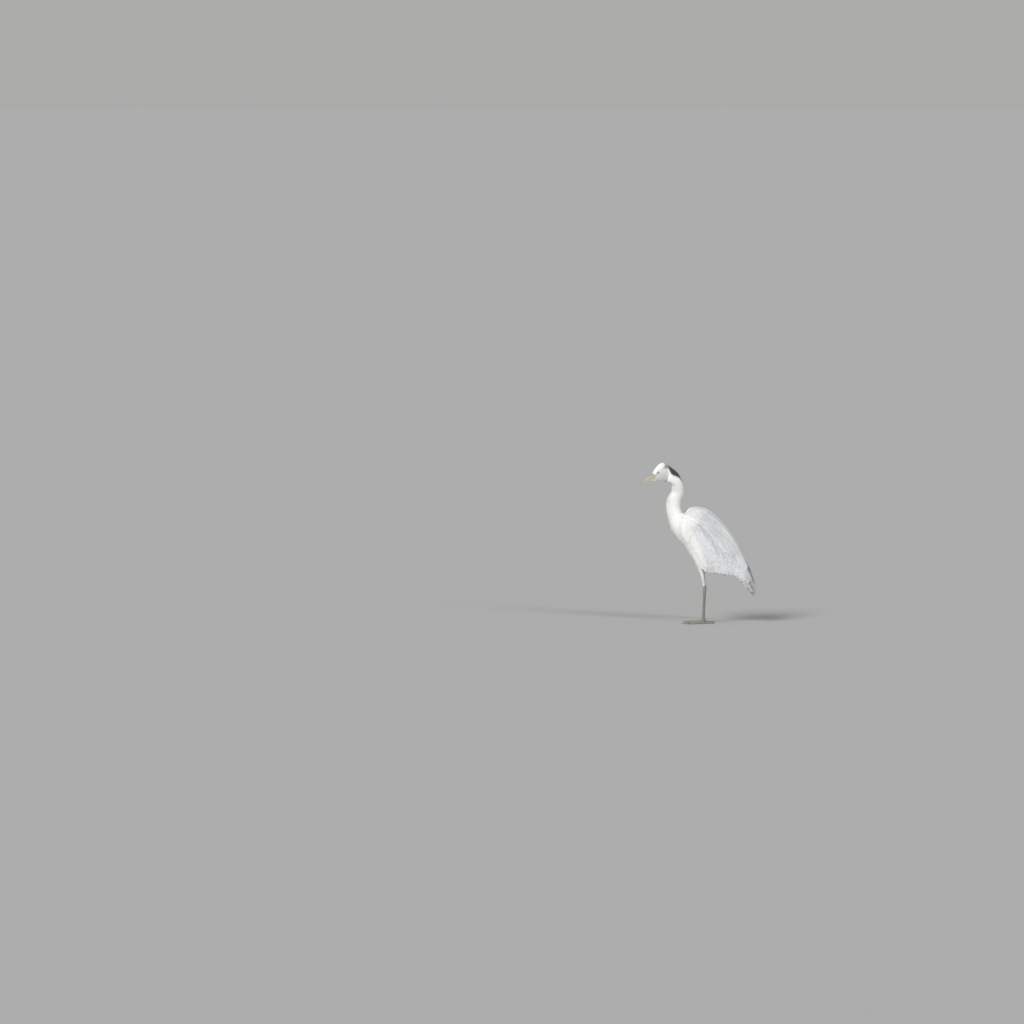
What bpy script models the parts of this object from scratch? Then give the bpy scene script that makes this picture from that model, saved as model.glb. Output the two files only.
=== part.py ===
"""A life-size grey heron that stands on both feet with its neck drawn into an S and its head turned to its left.

The bird looks along -X, its left side is at -Y, and +Z is up. Metres.
The head, neck, trunk and tail share one row of body sections, parted by thin cuts.
"""

import math

import bmesh
import bpy
from mathutils import Matrix, Vector

# Driving dimensions
GAP = 0.0003  # left between two pieces that touch
CLEARANCE = 0.0005  # by which a piece is grown before it cuts its neighbour
HEAD_YAW = math.radians(52)  # how far the head turns from straight ahead towards the bird's left
HEAD_PITCH = math.radians(13)  # how far the bill dips
HEAD_CENTRE = Vector((-0.206, -0.050, 0.694))
BILL_LENGTH = 0.107
BILL_BASE = 0.037  # from the head's centre to the bill's root
GAPE_HEIGHT = -0.0060  # of the closed edge of the bill, from the head's centre
EYE_RADIUS = 0.0062
EYE_BULGE = 0.0035  # half the eye's thickness
EYE_PLACE = Vector((0.0205, 0.0124, 0.0080))  # forward, left and up in the head
EYE_TURN = math.radians(14)  # how far an eye looks ahead of straight sideways
EYE_TILT = math.radians(6)  # and how far it looks up
LEG_SPACING = 0.076  # between the two legs
WING_MID_GAP = 0.0010  # from the middle plane to a wing's inner side
WING_FULLEST = 0.45  # where a wing reaches furthest to its side, from its back edge down
WING_EDGE = 0.0022  # thickness of a folded wing at its edges
WING_DEPTH = 0.0200  # what its middle adds to that
TOE_RADIUS = 0.0038
CLAW_LENGTH = 0.012

# Smoothness of the faceted solids
BODY_SIDES = 20
RINGS_PER_STEP = 2
LIMB_SIDES = 10
TOE_SIDES = 8

# name: colour, roughness, metallic
FINISHES = {
    "white_feather": ((0.86, 0.86, 0.84), 0.8, 0.0),
    "grey_feather": ((0.52, 0.54, 0.56), 0.8, 0.0),
    "slate_feather": ((0.16, 0.17, 0.19), 0.7, 0.0),
    "black_feather": ((0.02, 0.02, 0.025), 0.6, 0.0),
    "upper_bill": ((0.42, 0.38, 0.28), 0.4, 0.0),
    "lower_bill": ((0.72, 0.62, 0.36), 0.4, 0.0),
    "eye": ((0.75, 0.62, 0.12), 0.1, 0.0),
    "leg_skin": ((0.28, 0.26, 0.22), 0.6, 0.0),
    "claw": ((0.08, 0.07, 0.06), 0.4, 0.0),
}


def clear_scene():
    for thing in list(bpy.data.objects):
        bpy.data.objects.remove(thing, do_unlink=True)


def collection(name, shown):
    made = bpy.data.collections.new(name)
    bpy.context.scene.collection.children.link(made)
    made.hide_render = not shown
    return made


def material(name):
    found = bpy.data.materials.get(name)
    if found:
        return found
    colour, roughness, metallic = FINISHES[name]
    made = bpy.data.materials.new(name)
    made.use_nodes = True
    shader = made.node_tree.nodes["Principled BSDF"]
    shader.inputs["Base Color"].default_value = (*colour, 1.0)
    shader.inputs["Roughness"].default_value = roughness
    shader.inputs["Metallic"].default_value = metallic
    return made


# Sections and lofts


class Section:
    """An oval across the body: its centre, the vector to its upper edge and the vector to its left edge."""

    def __init__(self, centre, up, left, fullness=2.0):
        self.centre = Vector(centre)
        self.up = Vector(up)
        self.left = Vector(left)
        self.fullness = fullness

    def ring(self, sides, grow=0.0, push=None):
        power = 2.0 / self.fullness
        up = self.up * (1 + grow / self.up.length)
        left = self.left * (1 + grow / self.left.length)
        points = []
        for k in range(sides):
            turn = 2 * math.pi * k / sides
            c, s = math.cos(turn), math.sin(turn)
            c = math.copysign(abs(c) ** power, c)
            s = math.copysign(abs(s) ** power, s)
            points.append(self.centre + up * c + left * s + (push or Vector()))
        return points


def catmull(a, b, c, d, t):
    """The smooth value between b and c."""
    return 0.5 * (2 * b + (c - a) * t + (2 * a - 5 * b + 4 * c - d) * t * t + (3 * b - a - 3 * c + d) * t**3)


def between(sections, place):
    """The section at a place along the row, where 2.5 is halfway from the third to the fourth."""
    last = len(sections) - 1
    i = min(int(place), last - 1)
    t = place - i
    four = [sections[min(max(i + k, 0), last)] for k in (-1, 0, 1, 2)]
    return Section(
        catmull(*[s.centre for s in four], t),
        catmull(*[s.up for s in four], t),
        catmull(*[s.left for s in four], t),
        catmull(*[s.fullness for s in four], t),
    )


def mesh_of_rings(name, rings, home):
    """One closed object through the rings, with a flat cap at each end."""
    mesh = bmesh.new()
    loops = [[mesh.verts.new(p) for p in ring] for ring in rings]
    sides = len(rings[0])
    for a, b in zip(loops, loops[1:]):
        for k in range(sides):
            n = (k + 1) % sides
            mesh.faces.new((a[k], a[n], b[n], b[k]))
    mesh.faces.new(list(reversed(loops[0])))
    mesh.faces.new(loops[-1])
    bmesh.ops.recalc_face_normals(mesh, faces=mesh.faces)
    data = bpy.data.meshes.new(name)
    mesh.to_mesh(data)
    mesh.free()
    made = bpy.data.objects.new(name, data)
    home.objects.link(made)
    return made


def loft(name, sections, start, end, home, sides=BODY_SIDES, per_step=RINGS_PER_STEP, grow=0.0):
    """A closed piece of the row of sections, set back by half a gap at each end."""
    count = max(2, round((end - start) * per_step))
    rings = []
    for k in range(count + 1):
        place = start + (end - start) * k / count
        section = between(sections, place)
        along = between(sections, min(place + 0.01, len(sections) - 1)).centre
        along = (along - between(sections, max(place - 0.01, 0)).centre).normalized()
        setback = {0: GAP / 2, count: -GAP / 2}.get(k, 0.0)
        if grow:
            setback = {0: -grow, count: grow}.get(k, 0.0)
        rings.append(section.ring(sides, grow, along * setback))
    return mesh_of_rings(name, rings, home)


def finish(made, finish_name, home):
    made.data.materials.clear()
    made.data.materials.append(material(finish_name))
    made.data.shade_smooth()
    made.data.set_sharp_from_angle(angle=math.radians(40))
    if made.name not in home.objects:
        home.objects.link(made)
    return made


def carve(made, cutters, operation="DIFFERENCE"):
    """Cuts the cutters out of a piece, or joins them to it, and keeps its largest body."""
    for cutter in cutters:
        change = made.modifiers.new("cut", "BOOLEAN")
        change.operation = operation
        change.solver = "EXACT"
        change.object = cutter
    graph = bpy.context.evaluated_depsgraph_get()
    shape = bpy.data.meshes.new_from_object(made.evaluated_get(graph))
    made.modifiers.clear()
    made.data = shape
    keep_largest(shape)
    return made


def keep_largest(shape):
    mesh = bmesh.new()
    mesh.from_mesh(shape)
    bmesh.ops.remove_doubles(mesh, verts=mesh.verts, dist=0.00002)
    bmesh.ops.dissolve_degenerate(mesh, edges=mesh.edges, dist=0.00005)
    left, islands = set(mesh.verts), []
    while left:
        island, edge = set(), [left.pop()]
        while edge:
            vert = edge.pop()
            island.add(vert)
            for link in vert.link_edges:
                other = link.other_vert(vert)
                if other in left:
                    left.discard(other)
                    edge.append(other)
        islands.append(island)
    islands.sort(key=len)
    for island in islands[:-1]:
        bmesh.ops.delete(mesh, geom=list(island), context="VERTS")
    mesh.to_mesh(shape)
    mesh.free()


# The head's own frame


def head_axes():
    """Forward, left and up of the turned head."""
    cy, sy = math.cos(HEAD_YAW), math.sin(HEAD_YAW)
    cp, sp = math.cos(HEAD_PITCH), math.sin(HEAD_PITCH)
    forward = Vector((-cy * cp, -sy * cp, -sp))
    left = Vector((sy, -cy, 0))
    return forward, left, forward.cross(left)


def in_head(forward, left, up):
    f, side, u = head_axes()
    return HEAD_CENTRE + f * forward + side * left + u * up


def head_section(top, bottom, half_width, fullness=2.0, turned=0.0):
    """A section of the head from (forward, up) of its upper and lower edges; the lower may be turned left."""
    upper = in_head(top[0], 0, top[1])
    lower = in_head(bottom[0], 0, bottom[1]) - Vector((0, turned, 0))
    return Section((upper + lower) / 2, (upper - lower) / 2, head_axes()[1] * half_width, fullness)


def neck_section(centre, lean_deg, half_depth, half_width, yaw_deg=0.0):
    """A section of the neck. A lean of 0 points its back edge up, and 90 points it to the tail."""
    yaw, lean = math.radians(yaw_deg), math.radians(lean_deg)
    back = Vector((math.cos(yaw), math.sin(yaw), 0))
    up = back * math.sin(lean) + Vector((0, 0, math.cos(lean)))
    left = Vector((math.sin(yaw), -math.cos(yaw), 0))
    return Section(centre, up * half_depth, left * half_width)


def trunk_section(back, belly, half_width, fullness=2.1):
    """A section of the trunk from (x, z) on its back and (x, z) on its belly."""
    top, low = Vector((back[0], 0, back[1])), Vector((belly[0], 0, belly[1]))
    return Section((top + low) / 2, (top - low) / 2, Vector((0, -half_width, 0)), fullness)


def body_sections():
    """The row from the bill's root to the rump, and the places along it where pieces part."""
    head = [
        head_section((0.0375, 0.0085), (0.0370, -0.0270), 0.0112, 2.2),
        head_section((0.0300, 0.0165), (0.0250, -0.0310), 0.0138, 2.3),
        head_section((0.0155, 0.0255), (0.0100, -0.0350), 0.0160, 2.3),
        head_section((-0.0070, 0.0350), (-0.0090, -0.0395), 0.0188),
        head_section((-0.0300, 0.0393), (-0.0270, -0.0445), 0.0215),
        head_section((-0.0540, 0.0300), (-0.0425, -0.0500), 0.0230, turned=0.010),
    ]
    neck = [
        neck_section((-0.1490, -0.0112, 0.6763), 46, 0.0342, 0.0225, 24),
        neck_section((-0.1241, -0.0076, 0.6493), 68, 0.0275, 0.0215, 26),
        neck_section((-0.1170, -0.0040, 0.6240), 86, 0.0290, 0.0210, 14),
        neck_section((-0.1190, 0.0000, 0.6000), 95, 0.0300, 0.0215, 4),
        neck_section((-0.1310, 0.0000, 0.5790), 93, 0.0345, 0.0230),
        neck_section((-0.1370, 0.0000, 0.5550), 90, 0.0340, 0.0245),
        neck_section((-0.1360, 0.0000, 0.5260), 80, 0.0340, 0.0270),
    ]
    trunk = [
        trunk_section((-0.094, 0.506), (-0.160, 0.480), 0.0320),
        trunk_section((-0.084, 0.508), (-0.151, 0.442), 0.0390),
        trunk_section((-0.068, 0.524), (-0.134, 0.408), 0.0470),
        trunk_section((-0.042, 0.533), (-0.110, 0.378), 0.0535),
        trunk_section((-0.010, 0.532), (-0.080, 0.345), 0.0575),
        trunk_section((0.024, 0.518), (-0.056, 0.305), 0.0595),
        trunk_section((0.056, 0.494), (-0.026, 0.272), 0.0585),
        trunk_section((0.088, 0.460), (0.016, 0.252), 0.0530),
        trunk_section((0.116, 0.420), (0.062, 0.243), 0.0460),
        trunk_section((0.140, 0.376), (0.102, 0.232), 0.0370),
        trunk_section((0.158, 0.330), (0.130, 0.222), 0.0280),
        trunk_section((0.172, 0.280), (0.152, 0.210), 0.0220),
    ]
    cuts = {
        "head": (0, 5),
        "neck_upper": (5, 9),
        "neck_middle": (9, 12),
        "neck_lower": (12, 14),
        "trunk": (14, len(head + neck + trunk) - 1),
    }
    return head + neck + trunk, cuts


# Pieces


def chin_sections():
    """Feathers that run forward under the lower mandible."""
    return [
        head_section((0.028, -0.012), (0.028, -0.0295), 0.0100),
        head_section((0.038, -0.014), (0.040, -0.0270), 0.0085),
        head_section((0.052, -0.014), (0.054, -0.0245), 0.0066),
        head_section((0.066, -0.014), (0.068, -0.0205), 0.0040),
    ]


def make_body(parts, tools):
    sections, cuts = body_sections()
    made = {}
    for name, (start, end) in cuts.items():
        piece = loft(name, sections, start, end, parts)
        tone = "grey_feather" if name == "trunk" else "white_feather"
        if name == "head":
            chin = loft("chin", chin_sections(), 0, 3, tools, sides=12)
            bpy.context.view_layer.update()
            carve(piece, [chin], "UNION")
        made[name] = finish(piece, tone, parts)
    start, end = cuts["trunk"]
    made["trunk_grown"] = loft("trunk_grown", sections, start, end, tools, grow=CLEARANCE)
    made["neck_grown"] = loft("neck_grown", sections, 5, start, tools, grow=CLEARANCE)
    return made


def make_eyes(parts, tools, head):
    """A ball in each side of the head, and the socket that it sits in."""
    sockets = []
    for name, side in (("eye_left", 1), ("eye_right", -1)):
        place = in_head(EYE_PLACE.x, EYE_PLACE.y * side, EYE_PLACE.z)
        for label, grow, home in ((name, 0.0, parts), (name + "_socket", GAP, tools)):
            shape = bmesh.new()
            bmesh.ops.create_uvsphere(shape, u_segments=12, v_segments=8, radius=EYE_RADIUS + grow)
            flat = (EYE_BULGE + grow) / (EYE_RADIUS + grow)
            bmesh.ops.scale(shape, vec=(1, 1, flat), verts=shape.verts)
            bmesh.ops.transform(shape, matrix=eye_turn(side), verts=shape.verts)
            data = bpy.data.meshes.new(label)
            shape.to_mesh(data)
            shape.free()
            ball = bpy.data.objects.new(label, data)
            ball.location = place
            home.objects.link(ball)
            if home is parts:
                finish(ball, "eye", parts)
            else:
                sockets.append(ball)
    bpy.context.view_layer.update()
    carve(head, sockets)
    finish(head, "white_feather", parts)


def eye_turn(side):
    """Turns a ball's pole to look out of that side of the head."""
    forward, left, up = head_axes()
    out = left * side * math.cos(EYE_TURN) + forward * math.sin(EYE_TURN) + up * math.tan(EYE_TILT)
    return out.to_track_quat("Z", "Y").to_matrix().to_4x4()


def mandible(name, top, depth, width, home, grow=0.0):
    """Half of the bill: a ridge or keel over flat inner sides, tapered to the tip."""
    rings = 10
    loops = []
    length = BILL_LENGTH if top > 0 else BILL_LENGTH - 0.001
    for k in range(rings + 1):
        t = k / rings
        slim = (1 - t) ** 0.58 * 0.96 + 0.04
        x = BILL_BASE + GAP - grow + t * (length + 2 * grow)
        level = GAPE_HEIGHT + top * (GAP / 2 - grow)
        loop = []
        for j in range(9):
            turn = math.pi * j / 8
            across = (width * slim + grow) * math.cos(turn)
            loop.append(in_head(x, across, level + top * (depth * slim + 2 * grow) * math.sin(turn) ** 0.9))
        loops.append(loop)
    return mesh_of_rings(name, loops, home)


def make_bill(parts, tools, head):
    """Two mandibles that meet along the gape. The head's chin is cut to clear the lower one."""
    cutters = []
    for name, tone, top, depth, width in (
        ("bill_upper", "upper_bill", 1, 0.0145, 0.0106),
        ("bill_lower", "lower_bill", -1, 0.0132, 0.0100),
    ):
        finish(mandible(name, top, depth, width, parts), tone, parts)
        cutters.append(mandible(name + "_grown", top, depth, width, tools, GAP))
    bpy.context.view_layer.update()
    carve(head, cutters)
    finish(head, "white_feather", parts)


def make_crest(parts):
    """Two nape plumes that hang close behind the neck."""
    sections, _ = body_sections()
    for name, side in (("crest_left", 1), ("crest_right", -1)):
        loops = []
        steps = 8
        for k in range(steps + 1):
            t = k / steps
            section = between(sections, 5.1 + 3.6 * t)
            up, left = section.up.normalized(), section.left.normalized()
            off = 0.0011 + 0.0010 * math.sin(math.pi * t)
            thick = 0.0020 * (1 - t) + 0.0006
            width = 0.0048 * math.sin(math.pi * (0.12 + 0.86 * t)) ** 0.7 + 0.0006
            spread = side * (width + GAP + 0.0004)
            centre = section.centre + up * (section.up.length + off + thick) + left * spread
            loops.append(Section(centre, up * thick, left * width).ring(8))
        finish(mesh_of_rings(name, loops, parts), "black_feather", parts)


def make_tail(parts, tools):
    """A flat fan of folded feathers below the wing tips."""
    row = [
        Section((0.1520, 0, 0.2320), (0.0080, 0, 0.0080), (0, -0.0200, 0), 2.6),
        Section((0.1760, 0, 0.2000), (0.0062, 0, 0.0052), (0, -0.0260, 0), 3.0),
        Section((0.2040, 0, 0.1640), (0.0050, 0, 0.0040), (0, -0.0290, 0), 3.2),
        Section((0.2260, 0, 0.1360), (0.0040, 0, 0.0032), (0, -0.0280, 0), 3.2),
        Section((0.2340, 0, 0.1270), (0.0026, 0, 0.0022), (0, -0.0240, 0), 3.0),
    ]
    tail = loft("tail", row, 0, len(row) - 1, parts, sides=16)
    grown = loft("tail_grown", row, 0, len(row) - 1, tools, sides=16, grow=CLEARANCE)
    return tail, grown


def wing_row():
    """Stations of the folded left wing from its wrist to its tip.

    Each has its back edge and its lower edge in side view, and how far it reaches from the
    middle plane at the back edge, at its fullest and at the lower edge.
    """
    return (
        ((-0.074, 0.514), (-0.092, 0.488), (0.022, 0.042, 0.039)),
        ((-0.058, 0.528), (-0.101, 0.455), (0.024, 0.058, 0.052)),
        ((-0.030, 0.532), (-0.090, 0.410), (0.026, 0.069, 0.053)),
        ((0.006, 0.526), (-0.064, 0.358), (0.027, 0.076, 0.053)),
        ((0.040, 0.507), (-0.036, 0.300), (0.027, 0.078, 0.059)),
        ((0.074, 0.477), (0.006, 0.246), (0.025, 0.075, 0.060)),
        ((0.106, 0.441), (0.062, 0.236), (0.023, 0.068, 0.055)),
        ((0.137, 0.400), (0.106, 0.226), (0.020, 0.059, 0.048)),
        ((0.164, 0.356), (0.136, 0.224), (0.017, 0.049, 0.041)),
        ((0.188, 0.308), (0.164, 0.208), (0.014, 0.041, 0.035)),
        ((0.212, 0.256), (0.188, 0.180), (0.011, 0.034, 0.029)),
        ((0.232, 0.204), (0.212, 0.152), (0.008, 0.027, 0.023)),
        ((0.243, 0.164), (0.232, 0.136), (0.006, 0.019, 0.016)),
    )


def wing_loop(place):
    """The outline across the left wing: down its outer side from the back edge, then up its inner side."""
    row = wing_row()
    last = len(row) - 1
    i = min(int(place), last - 1)
    t = place - i
    four = [row[min(max(i + k, 0), last)] for k in (-1, 0, 1, 2)]
    back = [catmull(*[s[0][axis] for s in four], t) for axis in (0, 1)]
    low = [catmull(*[s[1][axis] for s in four], t) for axis in (0, 1)]
    top, full, edge = [catmull(*[s[2][k] for s in four], t) for k in range(3)]
    outer, inner = [], []
    steps = 8
    for k in range(steps + 1):
        s = k / steps
        down = 0.5 - 0.5 * math.cos(math.pi * s) * (1 - 0.15 * math.sin(math.pi * s))
        x, z = back[0] + (low[0] - back[0]) * down, back[1] + (low[1] - back[1]) * down
        if down < WING_FULLEST:
            side = top + (full - top) * math.sin(math.pi / 2 * down / WING_FULLEST) ** 0.8
        else:
            side = full - (full - edge) * ((down - WING_FULLEST) / (1 - WING_FULLEST)) ** 2.2
        thick = min(WING_EDGE + WING_DEPTH * math.sin(math.pi * s) ** 0.7, side - WING_MID_GAP)
        outer.append(Vector((x, -side, z)))
        inner.append(Vector((x, -(side - thick), z)))
    inner[0].z -= 0.0015
    return outer + inner[::-1]


def make_wing(name, side, cutters, parts):
    """A folded wing: a shell over the flank, less the body that it lies on."""
    count = round((len(wing_row()) - 1) * 1.5)
    loops = [[Vector((p.x, p.y * side, p.z)) for p in wing_loop(k / 1.5)] for k in range(count + 1)]
    wing = mesh_of_rings(name, loops, parts)
    bpy.context.view_layer.update()
    carve(wing, cutters)
    return finish(wing, "grey_feather", parts)


def leg_x(side):
    """The right leg stands a little further back than the left."""
    return 0.0 if side > 0 else 0.006


def make_leg(tag, side, cutters, parts, tools):
    y = -side * LEG_SPACING / 2
    dx = leg_x(side)

    def oval(x, z, depth, width, shift=0.0, fullness=2.0):
        return Section((x + dx, y + shift * side, z), (depth, 0, 0), (0, -width, 0), fullness)

    thigh_row = [
        oval(-0.020, 0.318, 0.0300, 0.0240, -0.002),
        oval(-0.018, 0.290, 0.0245, 0.0210, -0.001),
        oval(-0.013, 0.262, 0.0170, 0.0165),
        oval(-0.007, 0.236, 0.0112, 0.0120),
        oval(-0.0025, 0.212, 0.0074, 0.0082),
        oval(0.0005, 0.192, 0.0054, 0.0058),
    ]
    last = len(thigh_row) - 1
    thigh = loft("thigh_" + tag, thigh_row, 0, last, parts, sides=14)
    loft("thigh_grown_" + tag, thigh_row, 0, last, tools, sides=14, grow=CLEARANCE)
    bpy.context.view_layer.update()
    carve(thigh, cutters)
    finish(thigh, "white_feather", parts)

    shin_row = [
        oval(0.0005, 0.1915, 0.0046, 0.0046),
        oval(0.0030, 0.1760, 0.0046, 0.0044),
        oval(0.0048, 0.1650, 0.0062, 0.0058),
        oval(0.0058, 0.1560, 0.0070, 0.0064),
    ]
    finish(loft("shin_" + tag, shin_row, 0, 3, parts, sides=LIMB_SIDES, per_step=2), "leg_skin", parts)

    tarsus_row = [
        oval(0.0058, 0.1556, 0.0069, 0.0063),
        oval(0.0056, 0.1460, 0.0058, 0.0050),
        oval(0.0045, 0.1300, 0.0047, 0.0038),
        oval(0.0030, 0.0900, 0.0043, 0.0034),
        oval(0.0012, 0.0500, 0.0043, 0.0036),
        oval(0.0002, 0.0300, 0.0050, 0.0046),
        oval(-0.0004, 0.0205, 0.0060, 0.0060),
    ]
    finish(loft("tarsus_" + tag, tarsus_row, 0, 6, parts, sides=LIMB_SIDES, per_step=2), "leg_skin", parts)
    make_foot(tag, side, Vector((dx - 0.0005, y, 0)), parts, tools)


def make_foot(tag, side, ankle, parts, tools):
    """A low palm, three toes forward and one back, each with a claw. Soles are flat at z = 0."""
    palm_row = [
        Section(ankle + Vector((0, 0, 0.0200)), (0.0062, 0, 0), (0, -0.0062, 0)),
        Section(ankle + Vector((-0.0008, 0, 0.0145)), (0.0082, 0, 0), (0, -0.0080, 0)),
        Section(ankle + Vector((-0.0020, 0, 0.0090)), (0.0125, 0, 0), (0, -0.0112, 0)),
        Section(ankle + Vector((-0.0025, 0, 0.0040)), (0.0150, 0, 0), (0, -0.0130, 0)),
        Section(ankle + Vector((-0.0025, 0, 0.0001)), (0.0140, 0, 0), (0, -0.0122, 0)),
    ]
    sole = GAP / 2
    palm = loft("palm_" + tag, palm_row, 0, 4, parts, sides=12, per_step=2)
    grown = loft("palm_grown_" + tag, palm_row, 0, 4, tools, sides=12, per_step=2, grow=CLEARANCE)
    for loop_vert in palm.data.vertices:
        if loop_vert.co.z < 2 * sole:
            loop_vert.co.z = 0.0
    for loop_vert in grown.data.vertices:
        if loop_vert.co.z < 2 * sole:
            loop_vert.co.z = -0.002
    finish(palm, "leg_skin", parts)
    toes = (
        ("inner", -22, 0.0058, 0.060, (0.36, 0.70)),
        ("middle", 3, 0.0002, 0.082, (0.30, 0.56, 0.80)),
        ("outer", 27, -0.0058, 0.068, (0.26, 0.48, 0.70, 0.86)),
        ("hind", 172, 0.0, 0.046, (0.55,)),
    )
    for label, angle, inward, length, joints in toes:
        turn = math.radians(angle) * side
        heading = Vector((-math.cos(turn), -math.sin(turn), 0))
        root = ankle + Vector((-0.0025, inward * side, 0))
        make_toe(f"{label}_{tag}", root, heading, length, joints, [grown], parts)


def make_toe(name, root, heading, length, joints, cutters, parts):
    across = Vector((0, 0, 1)).cross(heading)
    steps = 9
    start = 0.009
    loops = []
    for k in range(steps + 1):
        t = k / steps
        knuckle = sum(math.exp(-(((t - j) / 0.06) ** 2)) for j in joints)
        radius = TOE_RADIUS * (1 - 0.34 * t) * (1 + 0.14 * knuckle)
        if k == steps:
            radius *= 0.72
        centre = root + heading * (start + (length - start) * t) + Vector((0, 0, radius * 0.88))
        loop = Section(centre, (0, 0, radius), across * radius * 0.98).ring(TOE_SIDES)
        loops.append([Vector((p.x, p.y, max(p.z, 0.0))) for p in loop])
    toe = mesh_of_rings("toe_" + name, loops, parts)
    bpy.context.view_layer.update()
    carve(toe, cutters)
    finish(toe, "leg_skin", parts)

    claw_loops = []
    claw_steps = 4
    base = radius * 0.92
    for k in range(claw_steps + 1):
        t = k / claw_steps
        size = base * (1 - t) ** 0.8 + 0.00025
        reach = length + GAP + CLAW_LENGTH * t
        height = max(base * 1.35 * (1 - t * t) + 0.0004, size)
        centre = root + heading * reach + Vector((0, 0, height))
        claw_loops.append(Section(centre, (0, 0, size), across * size * 0.75).ring(6))
    finish(mesh_of_rings("claw_" + name, claw_loops, parts), "claw", parts)


def centre_on_floor(parts):
    """Hangs every piece on one empty, which puts the middle of the bird's box over the origin."""
    bpy.context.view_layer.update()
    corners = [thing.matrix_world @ v.co for thing in parts.objects for v in thing.data.vertices]
    low = Vector([min(c[i] for c in corners) for i in range(3)])
    high = Vector([max(c[i] for c in corners) for i in range(3)])
    home = bpy.data.objects.new("heron", None)
    parts.objects.link(home)
    for thing in list(parts.objects):
        if thing is not home:
            thing.parent = home
    home.location = (-(low.x + high.x) / 2, -(low.y + high.y) / 2, -low.z)


def main():
    clear_scene()
    parts = collection("heron", True)
    tools = collection("cutters", False)
    body = make_body(parts, tools)
    make_eyes(parts, tools, body["head"])
    make_bill(parts, tools, body["head"])
    make_crest(parts)
    tail, tail_grown = make_tail(parts, tools)
    bpy.context.view_layer.update()
    carve(tail, [body["trunk_grown"]])
    finish(tail, "slate_feather", parts)
    for tag, side in (("left", 1), ("right", -1)):
        make_leg(tag, side, [body["trunk_grown"]], parts, tools)
        wing_cutters = [body["trunk_grown"], body["neck_grown"], tail_grown, tools.objects["thigh_grown_" + tag]]
        make_wing("wing_" + tag, side, wing_cutters, parts)
    for helper in tools.objects:
        helper.hide_render = True
        helper.display_type = "WIRE"
    centre_on_floor(parts)


main()
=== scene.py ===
import math

import bmesh
import bpy
import numpy as np
from mathutils import Matrix, Vector
from mathutils.bvhtree import BVHTree
from mathutils.kdtree import KDTree


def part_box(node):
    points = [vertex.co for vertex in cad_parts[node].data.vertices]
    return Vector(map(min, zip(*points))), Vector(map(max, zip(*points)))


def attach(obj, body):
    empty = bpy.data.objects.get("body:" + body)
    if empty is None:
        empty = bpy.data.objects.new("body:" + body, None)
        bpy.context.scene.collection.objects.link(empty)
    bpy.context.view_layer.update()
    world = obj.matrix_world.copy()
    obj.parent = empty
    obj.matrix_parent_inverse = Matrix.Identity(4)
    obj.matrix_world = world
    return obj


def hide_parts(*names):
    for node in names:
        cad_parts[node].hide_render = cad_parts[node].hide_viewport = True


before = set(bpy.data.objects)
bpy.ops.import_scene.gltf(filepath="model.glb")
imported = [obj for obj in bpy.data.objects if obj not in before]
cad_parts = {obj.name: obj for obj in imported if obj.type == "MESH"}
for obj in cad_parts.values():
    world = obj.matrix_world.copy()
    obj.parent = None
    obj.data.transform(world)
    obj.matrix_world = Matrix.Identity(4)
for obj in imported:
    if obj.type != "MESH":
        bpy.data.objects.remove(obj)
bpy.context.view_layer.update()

# A life-size grey heron: one skin, a coat of separate feathers over it, a horn bill, wet eyes, scaled legs.
# The bird looks along -X, its left side is at -Y and +Z is up. A side is 1 for the left, -1 for the right.

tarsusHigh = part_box("tarsus_left")[1]
tailLow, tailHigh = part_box("tail")
ankleBack = 0.0127  # from the leg's axis to the back of the ankle
legAxis = np.array([tarsusHigh.x - ankleBack, (tailLow.y + tailHigh.y) / 2, 0.0])  # the rows below start here
rng = np.random.default_rng(7)  # every draw is taken from here, in order


def ease(x, start, end):
    t = np.clip((np.asarray(x, float) - start) / (end - start), 0, 1)
    return t * t * (3 - 2 * t)


def unit(v):
    return v / np.maximum(np.linalg.norm(v, axis=-1, keepdims=True), 1e-12)


def dot(a, b):
    return np.sum(a * b, axis=-1)


def segmentDistance(x, z, a, b):
    # distance in side view from the line between two (x, z) points, and how far along it
    dx, dz = b[0] - a[0], b[1] - a[1]
    t = np.clip(((x - a[0]) * dx + (z - a[1]) * dz) / (dx * dx + dz * dz), 0, 1)
    return np.hypot(x - a[0] - t * dx, z - a[1] - t * dz), t


# where the head, its eyes and bill, and the legs are; yaw turns the bill to the bird's left, pitch lowers it
head = {"centre": (-0.206, -0.050, 0.694), "yaw": 52, "pitch": 13}
eye = {
    "forward": 0.0205, "left": 0.0124, "up": 0.0080,  # in the head
    "radius": 0.0062, "bulge": 0.0035, "turn": 14, "tilt": 6,
    "clear": 0.0067,  # no feathers nearer than this
    "bedSink": 0.0034, "bedRadii": (0.0090, 0.0088, 0.0052),  # the skin's rise under it
}
bill = {"base": 0.037, "length": 0.107, "gape": -0.0060}
legs = {"apart": 0.076, "rightBack": 0.006}


def headAxes():
    yaw, pitch = math.radians(head["yaw"]), math.radians(head["pitch"])
    forward = np.array([-math.cos(yaw) * math.cos(pitch), -math.sin(yaw) * math.cos(pitch), -math.sin(pitch)])
    left = np.array([math.sin(yaw), -math.cos(yaw), 0.0])
    return forward, left, np.cross(forward, left)


headForward, headLeft, headUp = headAxes()
headCentre = np.array(head["centre"]) + legAxis


def inHead(forward, left, up):
    forward, left, up = (np.asarray(x, float)[..., None] for x in (forward, left, up))
    return headCentre + headForward * forward + headLeft * left + headUp * up


def headPlace(p):
    # forward, left and up of points in the head
    away = p - headCentre
    return away @ headForward, away @ headLeft, away @ headUp


# Each row is a list of oval sections along a part, the same as the solids have.
def section(centre, up, left, fullness=2.0):
    return [*centre, *up, *left, fullness]


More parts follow.
